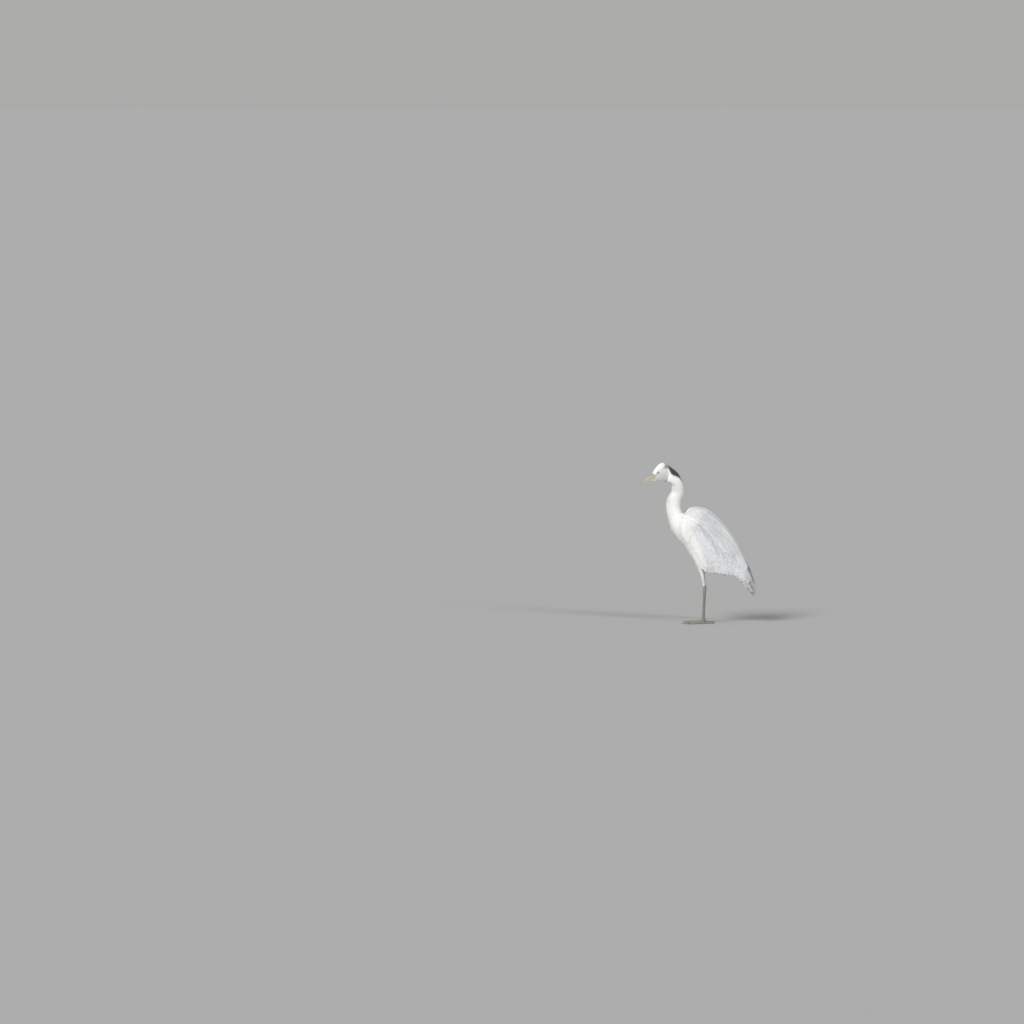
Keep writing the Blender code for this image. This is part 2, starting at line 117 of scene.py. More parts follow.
def headSection(top, bottom, halfWidth, fullness=2.0, turned=0.0):
    upper, lower = inHead(top[0], 0, top[1]), inHead(bottom[0], 0, bottom[1]) - (0, turned, 0)
    return section((upper + lower) / 2, (upper - lower) / 2, headLeft * halfWidth, fullness)


def neckSection(centre, leanDeg, halfDepth, halfWidth, yawDeg=0.0):
    yaw, lean = math.radians(yawDeg), math.radians(leanDeg)
    back = np.array([math.cos(yaw), math.sin(yaw), 0.0])
    up = back * math.sin(lean) + np.array([0, 0, math.cos(lean)])
    left = np.array([math.sin(yaw), -math.cos(yaw), 0.0])
    return section(np.array(centre) + legAxis, up * halfDepth, left * halfWidth)


def trunkSection(back, belly, halfWidth, fullness=2.1):
    top = np.array([back[0], 0, back[1]]) + legAxis
    low = np.array([belly[0], 0, belly[1]]) + legAxis
    return section((top + low) / 2, (top - low) / 2, (0, -halfWidth, 0), fullness)


def setBack(side):
    return legs["rightBack"] if side < 0 else 0.0


def legOval(side, x, z, depth, width, shift=0.0):
    centre = legAxis + (x + setBack(side), -side * legs["apart"] / 2 + shift * side, z)
    return section(centre, (depth, 0, 0), (0, -width, 0))


# from the bill's base over the head, down the neck and along the trunk to the tail
bodyRow = np.array([
    headSection((0.0375, 0.0085), (0.0370, -0.0270), 0.0112, 2.2),
    headSection((0.0300, 0.0165), (0.0250, -0.0310), 0.0138, 2.3),
    headSection((0.0155, 0.0255), (0.0100, -0.0350), 0.0160, 2.3),
    headSection((-0.0070, 0.0350), (-0.0090, -0.0395), 0.0188),
    headSection((-0.0300, 0.0393), (-0.0270, -0.0445), 0.0215),
    headSection((-0.0540, 0.0300), (-0.0425, -0.0500), 0.0230, turned=0.010),
    neckSection((-0.1490, -0.0112, 0.6763), 46, 0.0342, 0.0225, 24),
    neckSection((-0.1241, -0.0076, 0.6493), 68, 0.0275, 0.0215, 26),
    neckSection((-0.1170, -0.0040, 0.6240), 86, 0.0290, 0.0210, 14),
    neckSection((-0.1190, 0.0000, 0.6000), 95, 0.0300, 0.0215, 4),
    neckSection((-0.1310, 0.0000, 0.5790), 93, 0.0345, 0.0230),
    neckSection((-0.1370, 0.0000, 0.5550), 90, 0.0340, 0.0245),
    neckSection((-0.1360, 0.0000, 0.5260), 80, 0.0340, 0.0270),
    trunkSection((-0.094, 0.506), (-0.160, 0.480), 0.0320),
    trunkSection((-0.084, 0.508), (-0.151, 0.442), 0.0390),
    trunkSection((-0.068, 0.524), (-0.134, 0.408), 0.0470),
    trunkSection((-0.042, 0.533), (-0.110, 0.378), 0.0535),
    trunkSection((-0.010, 0.532), (-0.080, 0.345), 0.0575),
    trunkSection((0.024, 0.518), (-0.056, 0.305), 0.0595),
    trunkSection((0.056, 0.494), (-0.026, 0.272), 0.0585),
    trunkSection((0.088, 0.460), (0.016, 0.252), 0.0530),
    trunkSection((0.116, 0.420), (0.062, 0.243), 0.0460),
    trunkSection((0.140, 0.376), (0.102, 0.232), 0.0370),
    trunkSection((0.158, 0.330), (0.130, 0.222), 0.0280),
    trunkSection((0.172, 0.280), (0.152, 0.210), 0.0220),
])

chinRow = np.array([
    headSection((0.020, -0.012), (0.020, -0.0290), 0.0110),
    headSection((0.038, -0.014), (0.040, -0.0270), 0.0085),
    headSection((0.052, -0.014), (0.054, -0.0245), 0.0066),
    headSection((0.066, -0.014), (0.068, -0.0205), 0.0040),
    headSection((0.0692, -0.0152), (0.0702, -0.0182), 0.0016),
])

tailRow = np.array([
    section(legAxis + (0.1520, 0, 0.2320), (0.0080, 0, 0.0080), (0, -0.0200, 0), 2.6),
    section(legAxis + (0.1760, 0, 0.2000), (0.0062, 0, 0.0052), (0, -0.0260, 0), 3.0),
    section(legAxis + (0.2040, 0, 0.1640), (0.0050, 0, 0.0040), (0, -0.0290, 0), 3.2),
    section(legAxis + (0.2260, 0, 0.1360), (0.0040, 0, 0.0032), (0, -0.0280, 0), 3.2),
    section(legAxis + (0.2340, 0, 0.1270), (0.0026, 0, 0.0022), (0, -0.0240, 0), 3.0),
])

# back edge (x, z), lower edge (x, z), reach to the side at the back edge, the fullest and the lower edge
wingRow = np.array([
    (-0.074, 0.514, -0.092, 0.488, 0.022, 0.042, 0.039),
    (-0.058, 0.528, -0.101, 0.455, 0.024, 0.058, 0.052),
    (-0.030, 0.532, -0.090, 0.410, 0.026, 0.069, 0.053),
    (0.006, 0.526, -0.064, 0.358, 0.027, 0.076, 0.053),
    (0.040, 0.507, -0.036, 0.300, 0.027, 0.078, 0.059),
    (0.074, 0.477, 0.006, 0.246, 0.025, 0.075, 0.060),
    (0.106, 0.441, 0.062, 0.236, 0.023, 0.068, 0.055),
    (0.137, 0.400, 0.106, 0.226, 0.020, 0.059, 0.048),
    (0.164, 0.356, 0.136, 0.224, 0.017, 0.049, 0.041),
    (0.188, 0.308, 0.164, 0.208, 0.014, 0.041, 0.035),
    (0.212, 0.256, 0.188, 0.180, 0.011, 0.034, 0.029),
    (0.232, 0.204, 0.212, 0.152, 0.008, 0.027, 0.023),
    (0.243, 0.164, 0.232, 0.136, 0.006, 0.019, 0.016),
])
wingShape = {"fullest": 0.45, "rise": 0.8, "fall": 2.2, "edge": 0.0022, "hollow": 0.004, "end": 12.4}


def thighRow(side):
    return np.array([
        legOval(side, -0.020, 0.318, 0.0300, 0.0240, -0.002),
        legOval(side, -0.018, 0.290, 0.0245, 0.0210, -0.001),
        legOval(side, -0.013, 0.262, 0.0170, 0.0165),
        legOval(side, -0.007, 0.236, 0.0112, 0.0120),
        legOval(side, -0.0025, 0.212, 0.0074, 0.0082),
        legOval(side, 0.0005, 0.192, 0.0054, 0.0058),
        legOval(side, 0.0046, 0.1655, 0.0054, 0.0050),
    ])


def rowAt(row, place):
    # smooth values along a row, carried straight on past its ends
    last = len(row) - 1
    place = np.asarray(place, float)
    held = np.clip(place, 0, last)
    i = np.minimum(held.astype(int), last - 1)
    t = (held - i)[..., None]
    a, b, c, d = (row[np.clip(i + k, 0, last)] for k in (-1, 0, 1, 2))
    value = 0.5 * (2 * b + (c - a) * t + (2 * a - 5 * b + 4 * c - d) * t**2 + (3 * b - a - 3 * c + d) * t**3)
    slope = np.where((place > last)[..., None], row[last] - row[last - 1], row[1] - row[0])
    return value + slope * (place - held)[..., None]


class Shell:
    # a surface that feathers grow on: u runs along it and v across it
    def __init__(self, point, outward, closed, tile=(0.01, 0.01, 0.98, 0.98), span=(0, 1)):
        self.point, self.closed, self.tile, self.span = point, closed, tile, span
        along, across = np.linspace(span[0], span[1], 12)[1:-1], np.linspace(0.1, 0.9, 9)
        u, v = (grid.ravel() for grid in np.meshgrid(along, across))
        self.facing = 1.0
        p, _, _, normal = self.frameAt(u, v)
        self.facing = 1.0 if np.sum(dot(normal, outward(u, v, p)) > 0) * 2 > len(u) else -1.0

    def frameAt(self, u, v):
        # point, slopes along u and v, and outward normal
        step = 2e-3
        p = self.point(u, v)
        alongU = (self.point(u + step, v) - self.point(u - step, v)) / (2 * step)
        alongV = (self.point(u, v + step) - self.point(u, v - step)) / (2 * step)
        return p, alongU, alongV, unit(np.cross(alongU, alongV)) * self.facing

    def unwrap(self, u, v):
        # place on the bake map, inside this shell's tile
        left, low, wide, high = self.tile
        across = np.mod(v, 1.0) if self.closed else np.clip(v, 0, 1)
        along = np.clip((u - self.span[0]) / (self.span[1] - self.span[0]), 0, 1)
        return np.stack([left + wide * across, low + high * along], axis=-1)


def rowShell(row, **more):
    # v is 0 at the back, 0.25 at the left side and 0.5 in front or below
    def point(u, v):
        s = rowAt(row, u)
        turn = 2 * np.pi * np.asarray(v, float)
        power = 2 / s[..., 9]
        c, k = np.cos(turn), np.sin(turn)
        c, k = np.sign(c) * np.abs(c) ** power, np.sign(k) * np.abs(k) ** power
        return s[..., 0:3] + s[..., 3:6] * c[..., None] + s[..., 6:9] * k[..., None]

    def outward(u, v, p):
        return p - rowAt(row, u)[..., 0:3]

    return Shell(point, outward, True, **more)


def wingReach(s, v):
    # how far the wing stands out to the side at v, from its back edge down
    top, full, edge = s[..., 4], s[..., 5], s[..., 6]
    down = np.clip(v, 0, 1.2)
    fullest = wingShape["fullest"]
    rising = top + (full - top) * np.sin(np.pi / 2 * np.minimum(down / fullest, 1)) ** wingShape["rise"]
    falling = full - (full - edge) * (np.maximum(down - fullest, 0) / (1 - fullest)) ** wingShape["fall"]
    return np.where(down < fullest, rising, falling)


def wingPoint(s, v, side, reach):
    x = s[..., 0] + (s[..., 2] - s[..., 0]) * v
    z = s[..., 1] + (s[..., 3] - s[..., 1]) * v
    return legAxis + np.stack([x, -side * reach, z], axis=-1)


def wingShell(side, inner=False, **more):
    # v is 0 at the back edge and 1 at the lower edge
    def point(u, v):
        s = rowAt(wingRow, u)
        v = np.asarray(v, float)
        reach = wingReach(s, v)
        if inner:
            reach = reach - wingShape["edge"] - wingShape["hollow"] * np.sin(np.pi * np.clip(v, 0, 1))
        return wingPoint(s, v, side, reach)

    def outward(u, v, p):
        away = np.zeros(p.shape)
        away[..., 1] = side if inner else -side
        return away

    return Shell(point, outward, False, span=(0, wingShape["end"]), **more)


bodyShell = rowShell(bodyRow, span=(0, 24))
print("rows ready")

# Feathers are closed thin vanes, traced over a shell. Each point of a vane's cross-section says how far
# across it is, its share of the drop of the arch and its share of the thickness.
hairRing = np.array([(-1, 1, -0.5), (0, 0, 1), (1, 1, -0.5)], float)
tuftRing = np.array([(-1, 1, 0), (0, 0, 1), (1, 1, 0), (0, 0, -1)], float)
vaneRing = np.array([
    (-1, 1, 0), (-0.5, 0.28, 0.9), (0, 0, 1), (0.5, 0.28, 0.9), (1, 1, 0), (0, 0.12, -1),
], float)

# kinds of vane: stations along it, its width there, thickness, arch, and its height over the shell
tuft = {
    "ring": hairRing, "at": (0, 0.36, 0.74, 1), "wide": (0.45, 1.0, 0.8, 0.08),
    "thick": 0.00018, "arch": 0.09, "sink": 0.0009, "rise": 0.0, "puff": 0.0,
}
contour = {
    "ring": tuftRing, "at": (0, 0.34, 0.62, 0.82, 0.94, 1), "wide": (0.4, 0.95, 1.0, 0.78, 0.42, 0.1),
    "thick": 0.00022, "arch": 0.09, "sink": 0.0026, "rise": 0.0, "puff": 0.0002,
}
covert = {
    "ring": vaneRing, "at": (0, 0.25, 0.5, 0.7, 0.83, 0.92, 0.975, 1),
    "wide": (0.3, 0.72, 1.0, 0.98, 0.83, 0.59, 0.32, 0.08),
    "thick": 0.00028, "arch": 0.11, "sink": 0.0034, "rise": 0.0, "puff": 0.0004,
}
plume = {
    "ring": tuftRing, "at": (0, 0.14, 0.3, 0.46, 0.62, 0.78, 0.9, 1),
    "wide": (0.45, 0.8, 1.0, 0.95, 0.82, 0.6, 0.36, 0.07),
    "thick": 0.00040, "arch": 0.25, "sink": 0.0030, "rise": 0.0008, "puff": 0.0,
}
quill = {
    "ring": vaneRing, "at": (0, 0.12, 0.27, 0.42, 0.57, 0.72, 0.84, 0.93, 0.98, 1),
    "wide": (0.25, 0.7, 0.95, 1.0, 1.0, 0.95, 0.82, 0.6, 0.36, 0.1),
    "thick": 0.00050, "arch": 0.13, "sink": 0.0030, "rise": 0.0, "puff": 0.0,
}
vane = {
    "taper": 1.15, "root": 0.93, "rootEnd": 0.8,  # thinner towards the tip, a little darker at the root
    "tip": (0.74, 0.97), "rim": 0.35, "crease": 48, "patch": 0.003,  # patch on the bake map
}
uneven = {"size": 1.6, "turn": 0.8, "roll": 0.03, "jump": 0.00012, "fresh": (0.97, 1.025)}
trim = {"beyond": 0.06, "least": 0.34}  # for feathers that would run past the end of their shell


def ringFaces(stations, points):
    # one feather's quads between its rings, and the triangles that close its two ends
    quads = [[s * points + k, s * points + (k + 1) % points, (s + 1) * points + (k + 1) % points,
              (s + 1) * points + k] for s in range(stations - 1) for k in range(points)]
    end = (stations - 1) * points
    if points == len(vaneRing):
        keel = points - 1
        caps = [[keel, k + 1, k] for k in range(4)]
        caps += [[end + keel, end + k, end + k + 1] for k in range(4)]
    else:
        caps = [face for k in range(1, points - 1) for face in ([k + 1, k, 0], [end, end + k, end + k + 1])]
    return np.array(quads), np.array(caps)


class Coat:
    # gathers feathers into one joined mesh
    def __init__(self, name):
        self.name, self.count, self.made = name, 0, []

    def add(self, spine, normal, halfWidth, colour, root, style, roll=0.0, tip=None, tipShare=0.0, edge=0.0):
        # spine and normal are (feathers, stations, 3)
        ring, at = style["ring"], np.array(style["at"])
        n, stations, points = len(spine), len(at), len(ring)
        if n == 0:
            return
        along = unit(np.gradient(spine, axis=1))
        across = unit(np.cross(normal, along))
        half = halfWidth[:, None] * np.array(style["wide"])[None, :]
        tilt = np.broadcast_to(np.asarray(roll, float), (n,))[:, None]
        w = half[:, :, None] * ring[None, None, :, 0]
        h = -half[:, :, None] * style["arch"] * ring[None, None, :, 1]
        h = h + style["thick"] / 2 * ring[None, None, :, 2] * (vane["taper"] - at)[None, :, None]
        h = h + w * tilt[:, :, None]
        co = spine[:, :, None] + across[:, :, None] * w[..., None] + normal[:, :, None] * h[..., None]
        shade = (vane["root"] + (1 - vane["root"]) * ease(at, 0.1, vane["rootEnd"]))[None, :, None, None]
        rim = 1 + edge * (np.abs(ring[:, 0]) - vane["rim"])[None, None, :, None]
        tint = colour[:, None, None, :] * shade * rim * np.ones((1, stations, points, 1))
        if tip is not None:
            share = (tipShare * ease(at, *vane["tip"]))[None, :, None, None]
            tint = tint * (1 - share) + np.asarray(tip) * share
        flat = np.ones_like(w)
        lengthMm = np.linalg.norm(np.diff(spine, axis=1), axis=2).sum(1) * 1000
        vaneMap = np.stack([w * 1000, (at[None, :, None] * lengthMm[:, None, None]) * flat], axis=-1)
        local = np.stack([ring[None, None, :, 0] / 2 * flat, (at - 0.5)[None, :, None] * flat], axis=-1)
        bakeMap = root[:, None, None, :] + vane["patch"] * local
        quads, caps = ringFaces(stations, points)
        first = (np.arange(n) * stations * points + self.count)[:, None, None]
        self.made.append((co.reshape(-1, 3), (quads[None] + first).reshape(-1, 4),
                          (caps[None] + first).reshape(-1, 3), tint.reshape(-1, 3),
                          vaneMap.reshape(-1, 2), bakeMap.reshape(-1, 2)))
        self.count += n * stations * points

    def build(self, material, slot, nodes=()):
        co, quads, caps, tint, vaneMap, bakeMap = (np.concatenate(parts) for parts in zip(*self.made))
        made = meshPiece(self.name, co, quads, caps, material)
        corners = np.concatenate([quads.ravel(), caps.ravel()])
        paint(made, tint)
        for name, values in (("vane", vaneMap), ("OFBake", bakeMap)):
            mapOnto(made, name, values[corners])
        made.data.set_sharp_from_angle(angle=math.radians(vane["crease"]))
        settle(made, nodes)
        print(f"{self.name}: {len(quads) * 2 + len(caps)} triangles")


def linked(name, mesh):
    made = bpy.data.objects.new(name, mesh)
    bpy.context.scene.collection.objects.link(made)
    return made


def meshPiece(name, co, quads, caps, material):
    mesh = bpy.data.meshes.new(name)
    mesh.vertices.add(len(co))
    mesh.vertices.foreach_set("co", co.astype(np.float32).ravel())
    corners = np.concatenate([quads.ravel(), caps.ravel()]).astype(np.int32)
    starts = np.concatenate([np.arange(len(quads)) * 4, quads.size + np.arange(len(caps)) * 3])
    mesh.loops.add(len(corners))
    mesh.loops.foreach_set("vertex_index", corners)
    mesh.polygons.add(len(starts))
    mesh.polygons.foreach_set("loop_start", starts.astype(np.int32))
    mesh.update(calc_edges=True)
    mesh.validate()
    mesh.shade_smooth()
    mesh.materials.append(material)
    return linked(name, mesh)


def mapOnto(made, name, cornerPlaces):
    layer = made.data.uv_layers.new(name=name)
    layer.data.foreach_set("uv", cornerPlaces.astype(np.float32).ravel())


def paint(made, rgb):
    layer = made.data.color_attributes.new("tint", "FLOAT_COLOR", "POINT")
    rgba = np.ones((len(rgb), 4), np.float32)
    rgba[:, :3] = rgb
    layer.data.foreach_set("color", rgba.ravel())


def settle(made, nodes=()):
    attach(made, "root")
    if nodes:
        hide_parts(*nodes)


def scatter(shell, uRange, vRange, along, across, jitter=0.3):
    # staggered rows of roots, evenly spread over a patch of a shell
    fine = 80
    vFine = np.linspace(vRange[0], vRange[1], fine)
    us, vs = [], []
    u, odd = uRange[0], 0
    while u < uRange[1]:
        line, alongU, _, _ = shell.frameAt(np.full(fine, u), vFine)
        arc = np.concatenate([[0], np.cumsum(np.linalg.norm(np.diff(line, axis=0), axis=1))])
        speed = np.linalg.norm(alongU, axis=1)
        du = along / speed.max()
        count = max(1, int(arc[-1] / across))
        places = (np.arange(count) + 0.25 + 0.5 * odd + rng.uniform(-jitter, jitter, count)) / count * arc[-1]
        v = np.interp(places, arc, vFine)
        keep = rng.random(count) < np.clip(np.interp(v, vFine, speed) * du / along, 0.3, 1)
        us.append(u + rng.uniform(-jitter, jitter, count)[keep] * du)
        vs.append(v[keep])
        u += du
        odd = 1 - odd
    return np.concatenate(us), np.concatenate(vs)


def traceOver(shell, u, v, lay, length, stations, steps=3):
    # walks each feather's spine over the shell in short steps; lay gives its direction at each place
    spine, normals, us, vs = [], [], [], []
    p, alongU, alongV, n = shell.frameAt(u, v)
    for k, at in enumerate(stations):
        for store, value in ((spine, p), (normals, n), (us, u), (vs, v)):
            store.append(value)
        if k == len(stations) - 1:
            break
        move = length * (stations[k + 1] - at) / steps
        for _ in range(steps):
            d = lay(u, v, p, unit(alongU))
            d = unit(d - n * dot(d, n)[:, None])
            e, f, g = dot(alongU, alongU), dot(alongU, alongV), dot(alongV, alongV)
            x, y = dot(d, alongU), dot(d, alongV)
            area = np.maximum(e * g - f * f, 0.05 * e * g)
            du, dv = (g * x - f * y) / area * move, (e * y - f * x) / area * move
            gone = np.linalg.norm(shell.point(u + du, v + dv) - p, axis=-1)
            share = np.minimum(1, 1.15 * move / np.maximum(gone, 1e-9))
            u, v = u + du * share, v + dv * share
            p, alongU, alongV, n = shell.frameAt(u, v)
    return (np.stack(s, axis=1) for s in (spine, normals, us, vs))


rootPlaces, rootColours = [], []


def remember(places, colours):
    # the skin takes the colours of the feathers over it
    rootPlaces.append(places)
    rootColours.append(colours)


def grow(coat, shell, roots, lay, length, half, colour, style, within=None, hidden=None, drape=None, lift=0.0,
         spread=0.08, **more):
    # feathers on a shell; length and half width are numbers or functions of (u, v)
    u, v = roots
    count = len(u)
    size = length(u, v) if callable(length) else np.full(count, float(length))
    half = half(u, v) if callable(half) else np.full(count, float(half))
    size = size * rng.uniform(1 - uneven["size"] * spread, 1 + uneven["size"] * spread, count)
    half = half * rng.uniform(1 - spread, 1 + spread, count)
    turn = rng.normal(0, spread * uneven["turn"], count)
    roll = rng.normal(0, uneven["roll"], count)
    jump = rng.uniform(-uneven["jump"], uneven["jump"], count)
    fresh = rng.uniform(*uneven["fresh"], count)

    def turnedLay(uu, vv, p, alongU):
        d = unit(lay(uu, vv, p, alongU))
        _, _, _, n = shell.frameAt(uu, vv)
        return d + np.cross(n, d) * turn[:, None]

    stations = np.array(style["at"])
    if within:
        uMax, vMin, vMax = within
        _, _, us, vs = traceOver(shell, u, v, turnedLay, size, stations)
        inside = (us <= uMax) & (vs >= vMin) & (vs <= vMax)
        first = np.where(inside.all(1), len(stations) - 1, np.argmax(~inside, axis=1) - 1)
        share = stations[np.clip(first, 0, len(stations) - 1)]
        share = np.where(inside.all(1), 1.0, share + trim["beyond"])
        keep = share > trim["least"]
        size = size * share
        u, v, size, half, turn = u[keep], v[keep], size[keep], half[keep], turn[keep]
        roll, jump, fresh = roll[keep], jump[keep], fresh[keep]
    spine, normals, us, vs = traceOver(shell, u, v, turnedLay, size, stations)
    sink = style["sink"] * (1 - stations) ** 1.25
    height = -sink + style["rise"] * stations**2 + style["puff"] * np.sin(np.pi * stations) + lift
    spine = spine + normals * (height[None, :] + jump[:, None])[..., None]
    keep = np.ones(len(u), bool) if hidden is None else ~hidden(spine, normals)
    if drape:
        spine, keep = drape(spine, normals, stations)
    rgb = colour(spine[:, len(stations) // 2], u, v, len(u)) * fresh[:, None]
    coat.add(spine[keep], normals[keep], half[keep], rgb[keep], shell.unwrap(u, v)[keep], style,
             roll=roll[keep], **more)
    remember(spine[keep][:, 1], rgb[keep])


def clothe(coat, shell, kinds, **shared):
    # grows each kind in turn, spread over its patch of the shell or from the roots that it names
    for kind in kinds.values():
        more = dict(shared, **kind)
        roots = more.pop("roots", None)
        if roots is None:
            roots = scatter(shell, more.pop("u"), more.pop("v", (0, 1)), *more.pop("step"))
        grow(coat, shell, roots, **more)


def graded(base, gain, start, end):
    # a measure that changes along u
    return lambda u, v: base + gain * ease(u, start, end)


def between(low, high):
    # a measure drawn for each feather
    return lambda u, v: rng.uniform(low, high, len(u))


# the same markings serve the feathers and, through them, the skin
tones = {
    "white": (0.86, 0.855, 0.835),
    "greyCast": (0.985, 0.997, 1.018),
    "black": (0.022, 0.023, 0.027),
    "slate": (0.31, 0.32, 0.34),
    "streak": (0.30, 0.30, 0.31),
    "lores": (0.56, 0.55, 0.40),
}
headMarks = {
    # stripe behind the eye: its middle and half height, against the distance forward of the head's centre
    "stripeForward": (-0.052, -0.040, -0.026, -0.004), "stripeUp": (0.0220, 0.0215, 0.0185, 0.0135),
    "stripeHalf": (0.0160, 0.0085, 0.0040, 0.0010), "stripe": 0.62,
    # black nape: how wide it is along u, as the cosine of the angle from the middle of the back
    "napeAlong": (4.6, 5.0, 5.5, 6.0, 6.6, 7.2), "napeEdge": (0.42, 0.10, 0.14, 0.40, 0.78, 1.06),
    "black": 0.97, "uneven": (0.0035, 0.0012),
}
bodyMarks = {"back": 0.66, "rear": 0.04, "hindNeck": 0.10, "streaks": 0.16, "streak": 0.45}
wingMarks = {
    "tone": 0.70, "band": ((0.010, 0.478), (0.150, 0.330)), "bandDark": 0.085, "mantleDark": 0.070,
    "lowPale": 0.045, "streaks": 0.28, "streakDark": 0.12, "tipDark": 0.26,
    # white: the shoulder, the front edge as x against z, and the hem
    "shoulder": ((-0.094, 0.499), (-0.046, 0.468)),
    "frontZ": (0.255, 0.284, 0.330, 0.366, 0.424, 0.484, 0.505),
    "frontX": (0.006, 0.006, -0.010, -0.026, -0.052, -0.074, -0.080),
    "hem": ((0.005, 0.270), (0.064, 0.243), (0.110, 0.232)), "hemWhite": 0.8,
}
white, black, greyCast = (np.array(tones[name]) for name in ("white", "black", "greyCast"))


def blend(a, b, share):
    share = np.asarray(share, float)[..., None]
    return a * (1 - share) + b * share


def evenly(rgb, n):
    return np.broadcast_to(rgb, (n, 3))


def greys(tone):
    return tone[:, None] * greyCast


def headColour(p, u, v, n):
    # white, with a thin faint stripe behind each eye and a black hind crown that narrows down the nape
    forward, _, up = headPlace(p)
    unevenForward, unevenUp = headMarks["uneven"]
    forward, up = forward + rng.normal(0, unevenForward, n), up + rng.normal(0, unevenUp, n)
    middle = np.interp(forward, headMarks["stripeForward"], headMarks["stripeUp"])
    half = np.interp(forward, headMarks["stripeForward"], headMarks["stripeHalf"])
    stripe = headMarks["stripe"] * ease(np.abs(up - middle), half + 0.0016, half - 0.0010)
    stripe = stripe * ease(forward, -0.004, -0.040)
    reach = np.interp(u, headMarks["napeAlong"], headMarks["napeEdge"])
    nape = ease(np.cos(2 * np.pi * v) + rng.normal(0, 0.05, n), reach - 0.06, reach + 0.06)
    nape = nape * ease(u + rng.normal(0, 0.08, n), 4.5, 4.95)
    dark = np.clip(np.maximum(stripe * ease(u, 5.2, 4.9), nape), 0, 1)
    return blend(evenly(white, n), black, dark * headMarks["black"])


def bodyColour(p, u, v, n):
    # white in front and below, grey over the back and the lower hind neck, with a few streaks down the front
    back = np.cos(2 * np.pi * v)
    grey = ease(back, 0.25, 0.75) * ease(u, 13.0, 14.6)
    hindNeck = ease(back, 0.2, 0.95) * ease(u, 7.5, 11.5) * bodyMarks["hindNeck"]
    tone = bodyMarks["back"] - bodyMarks["rear"] * ease(u, 15, 19) + 0.02 * rng.standard_normal(n)
    rgb = blend(evenly(white, n), greys(tone), np.clip(grey, 0, 1))
    rgb = rgb * (1 - hindNeck)[:, None]
    streak = ease(back, -0.93, -0.985) * ease(u, 8.0, 9.5) * ease(u, 13.4, 12.2)
    streak = streak * (rng.random(n) < bodyMarks["streaks"])
    return blend(rgb, np.array(tones["streak"]), np.clip(streak * bodyMarks["streak"], 0, 1))


def neckColour(p, u, v, n):
    return np.where((u < 7.6)[:, None], headColour(p, u, v, n), bodyColour(p, u, v, n))


def wingColour(p, u, v, n):
    # pale grey with a darker mantle and band, greyer towards the tip; white shoulder, front edge and hem
    marks = wingMarks
    local = p - legAxis
    x, z = local[:, 0], local[:, 2]
    tone = marks["tone"] + 0.018 * rng.standard_normal(n)
    band, _ = segmentDistance(x, z, *marks["band"])
    mantle = ease(v, 0.42, 0.16) * ease(u, 5.5, 4.0)
    tone = tone - marks["bandDark"] * ease(band, 0.034, 0.010) - marks["mantleDark"] * mantle
    tone = tone + marks["lowPale"] * ease(v, 0.45, 0.75)
    streaks = ease(v, 0.62, 0.74) * ease(x, -0.02, 0.0) * ease(x, 0.10, 0.07)
    streaks = streaks * (rng.random(n) < marks["streaks"])
    tone = tone - marks["streakDark"] * streaks
    tone = tone * (1 - marks["tipDark"] * ease(u, 8.4, 10.0))
    patch, along = segmentDistance(x, z, *marks["shoulder"])
    shoulder = ease(patch - (0.006 + 0.010 * along), 0.004, -0.002)
    border = np.interp(z, marks["frontZ"], marks["frontX"])
    front = ease(x, border + 0.014, border - 0.008)
    a, b, c = marks["hem"]
    hem = np.minimum(segmentDistance(x, z, a, b)[0], segmentDistance(x, z, b, c)[0])
    lowEdge = marks["hemWhite"] * ease(hem, 0.012, 0.004) * ease(v, 0.8, 0.9)
    return blend(greys(tone), white, np.clip(np.maximum(shoulder, np.maximum(front, lowEdge)), 0, 1))


def flightColour(p, u, v, n):
    paler = blend(evenly(np.array(tones["slate"]), n), 0.52 * greyCast, ease(v, 0.12, 0.55))
    return paler * rng.uniform(0.90, 1.10, n)[:, None]


def fringeColour(p, u, v, n):
    return greys((0.40 + 0.10 * rng.standard_normal(n)).clip(0.2, 0.62))


def tertialColour(p, u, v, n):
    return greys(0.56 - 0.14 * ease(v, 0.35, 0.08) + 0.02 * rng.standard_normal(n))


def backColour(p, u, v, n):
    tone = (0.63 + 0.018 * rng.standard_normal(n)) * (1 - 0.26 * ease(u, 8.0, 10.5))
    return blend(greys(tone), white * 0.96, ease(u, 0.9, -0.3))


def rumpColour(p, u, v, n):
    return greys(0.47 + 0.03 * rng.standard_normal(n))


def silverColour(p, u, v, n):
    return greys((0.60 + 0.07 * rng.standard_normal(n)).clip(0.46, 0.76))


def tailCoverColour(p, u, v, n):
    # grey above, white below
    above = ease(np.cos(2 * np.pi * v), -0.95, -0.6)
    return blend(evenly(white, n) * 0.84, 0.54 * greyCast, above)


def thighColour(p, u, v, n):
    return evenly(white, n) * (1 - 0.06 * rng.random(n))[:, None]


def crestColour(p, u, v, n):
    return evenly(black, n) * rng.uniform(0.8, 1.3, n)[:, None]


def newMaterial(name, rough=0.8, **sockets):
    made = bpy.data.materials.new(name)
    made.use_nodes = True
    shader = made.node_tree.nodes["Principled BSDF"]
    shader.inputs["Roughness"].default_value = rough
    for label, value in sockets.items():
        shader.inputs[label.replace("_", " ")].default_value = value
    return made, made.node_tree, shader


def node(tree, kind, inputs=(), **settings):
    # a node with its settings and inputs; an input is a value or another node's output
    made = tree.nodes.new(kind)
    for name, value in settings.items():
        setattr(made, name, value)
    for key, value in dict(inputs).items():
        if isinstance(value, bpy.types.NodeSocket):
            tree.links.new(value, made.inputs[key])
        else:
            made.inputs[key].default_value = value
    return made


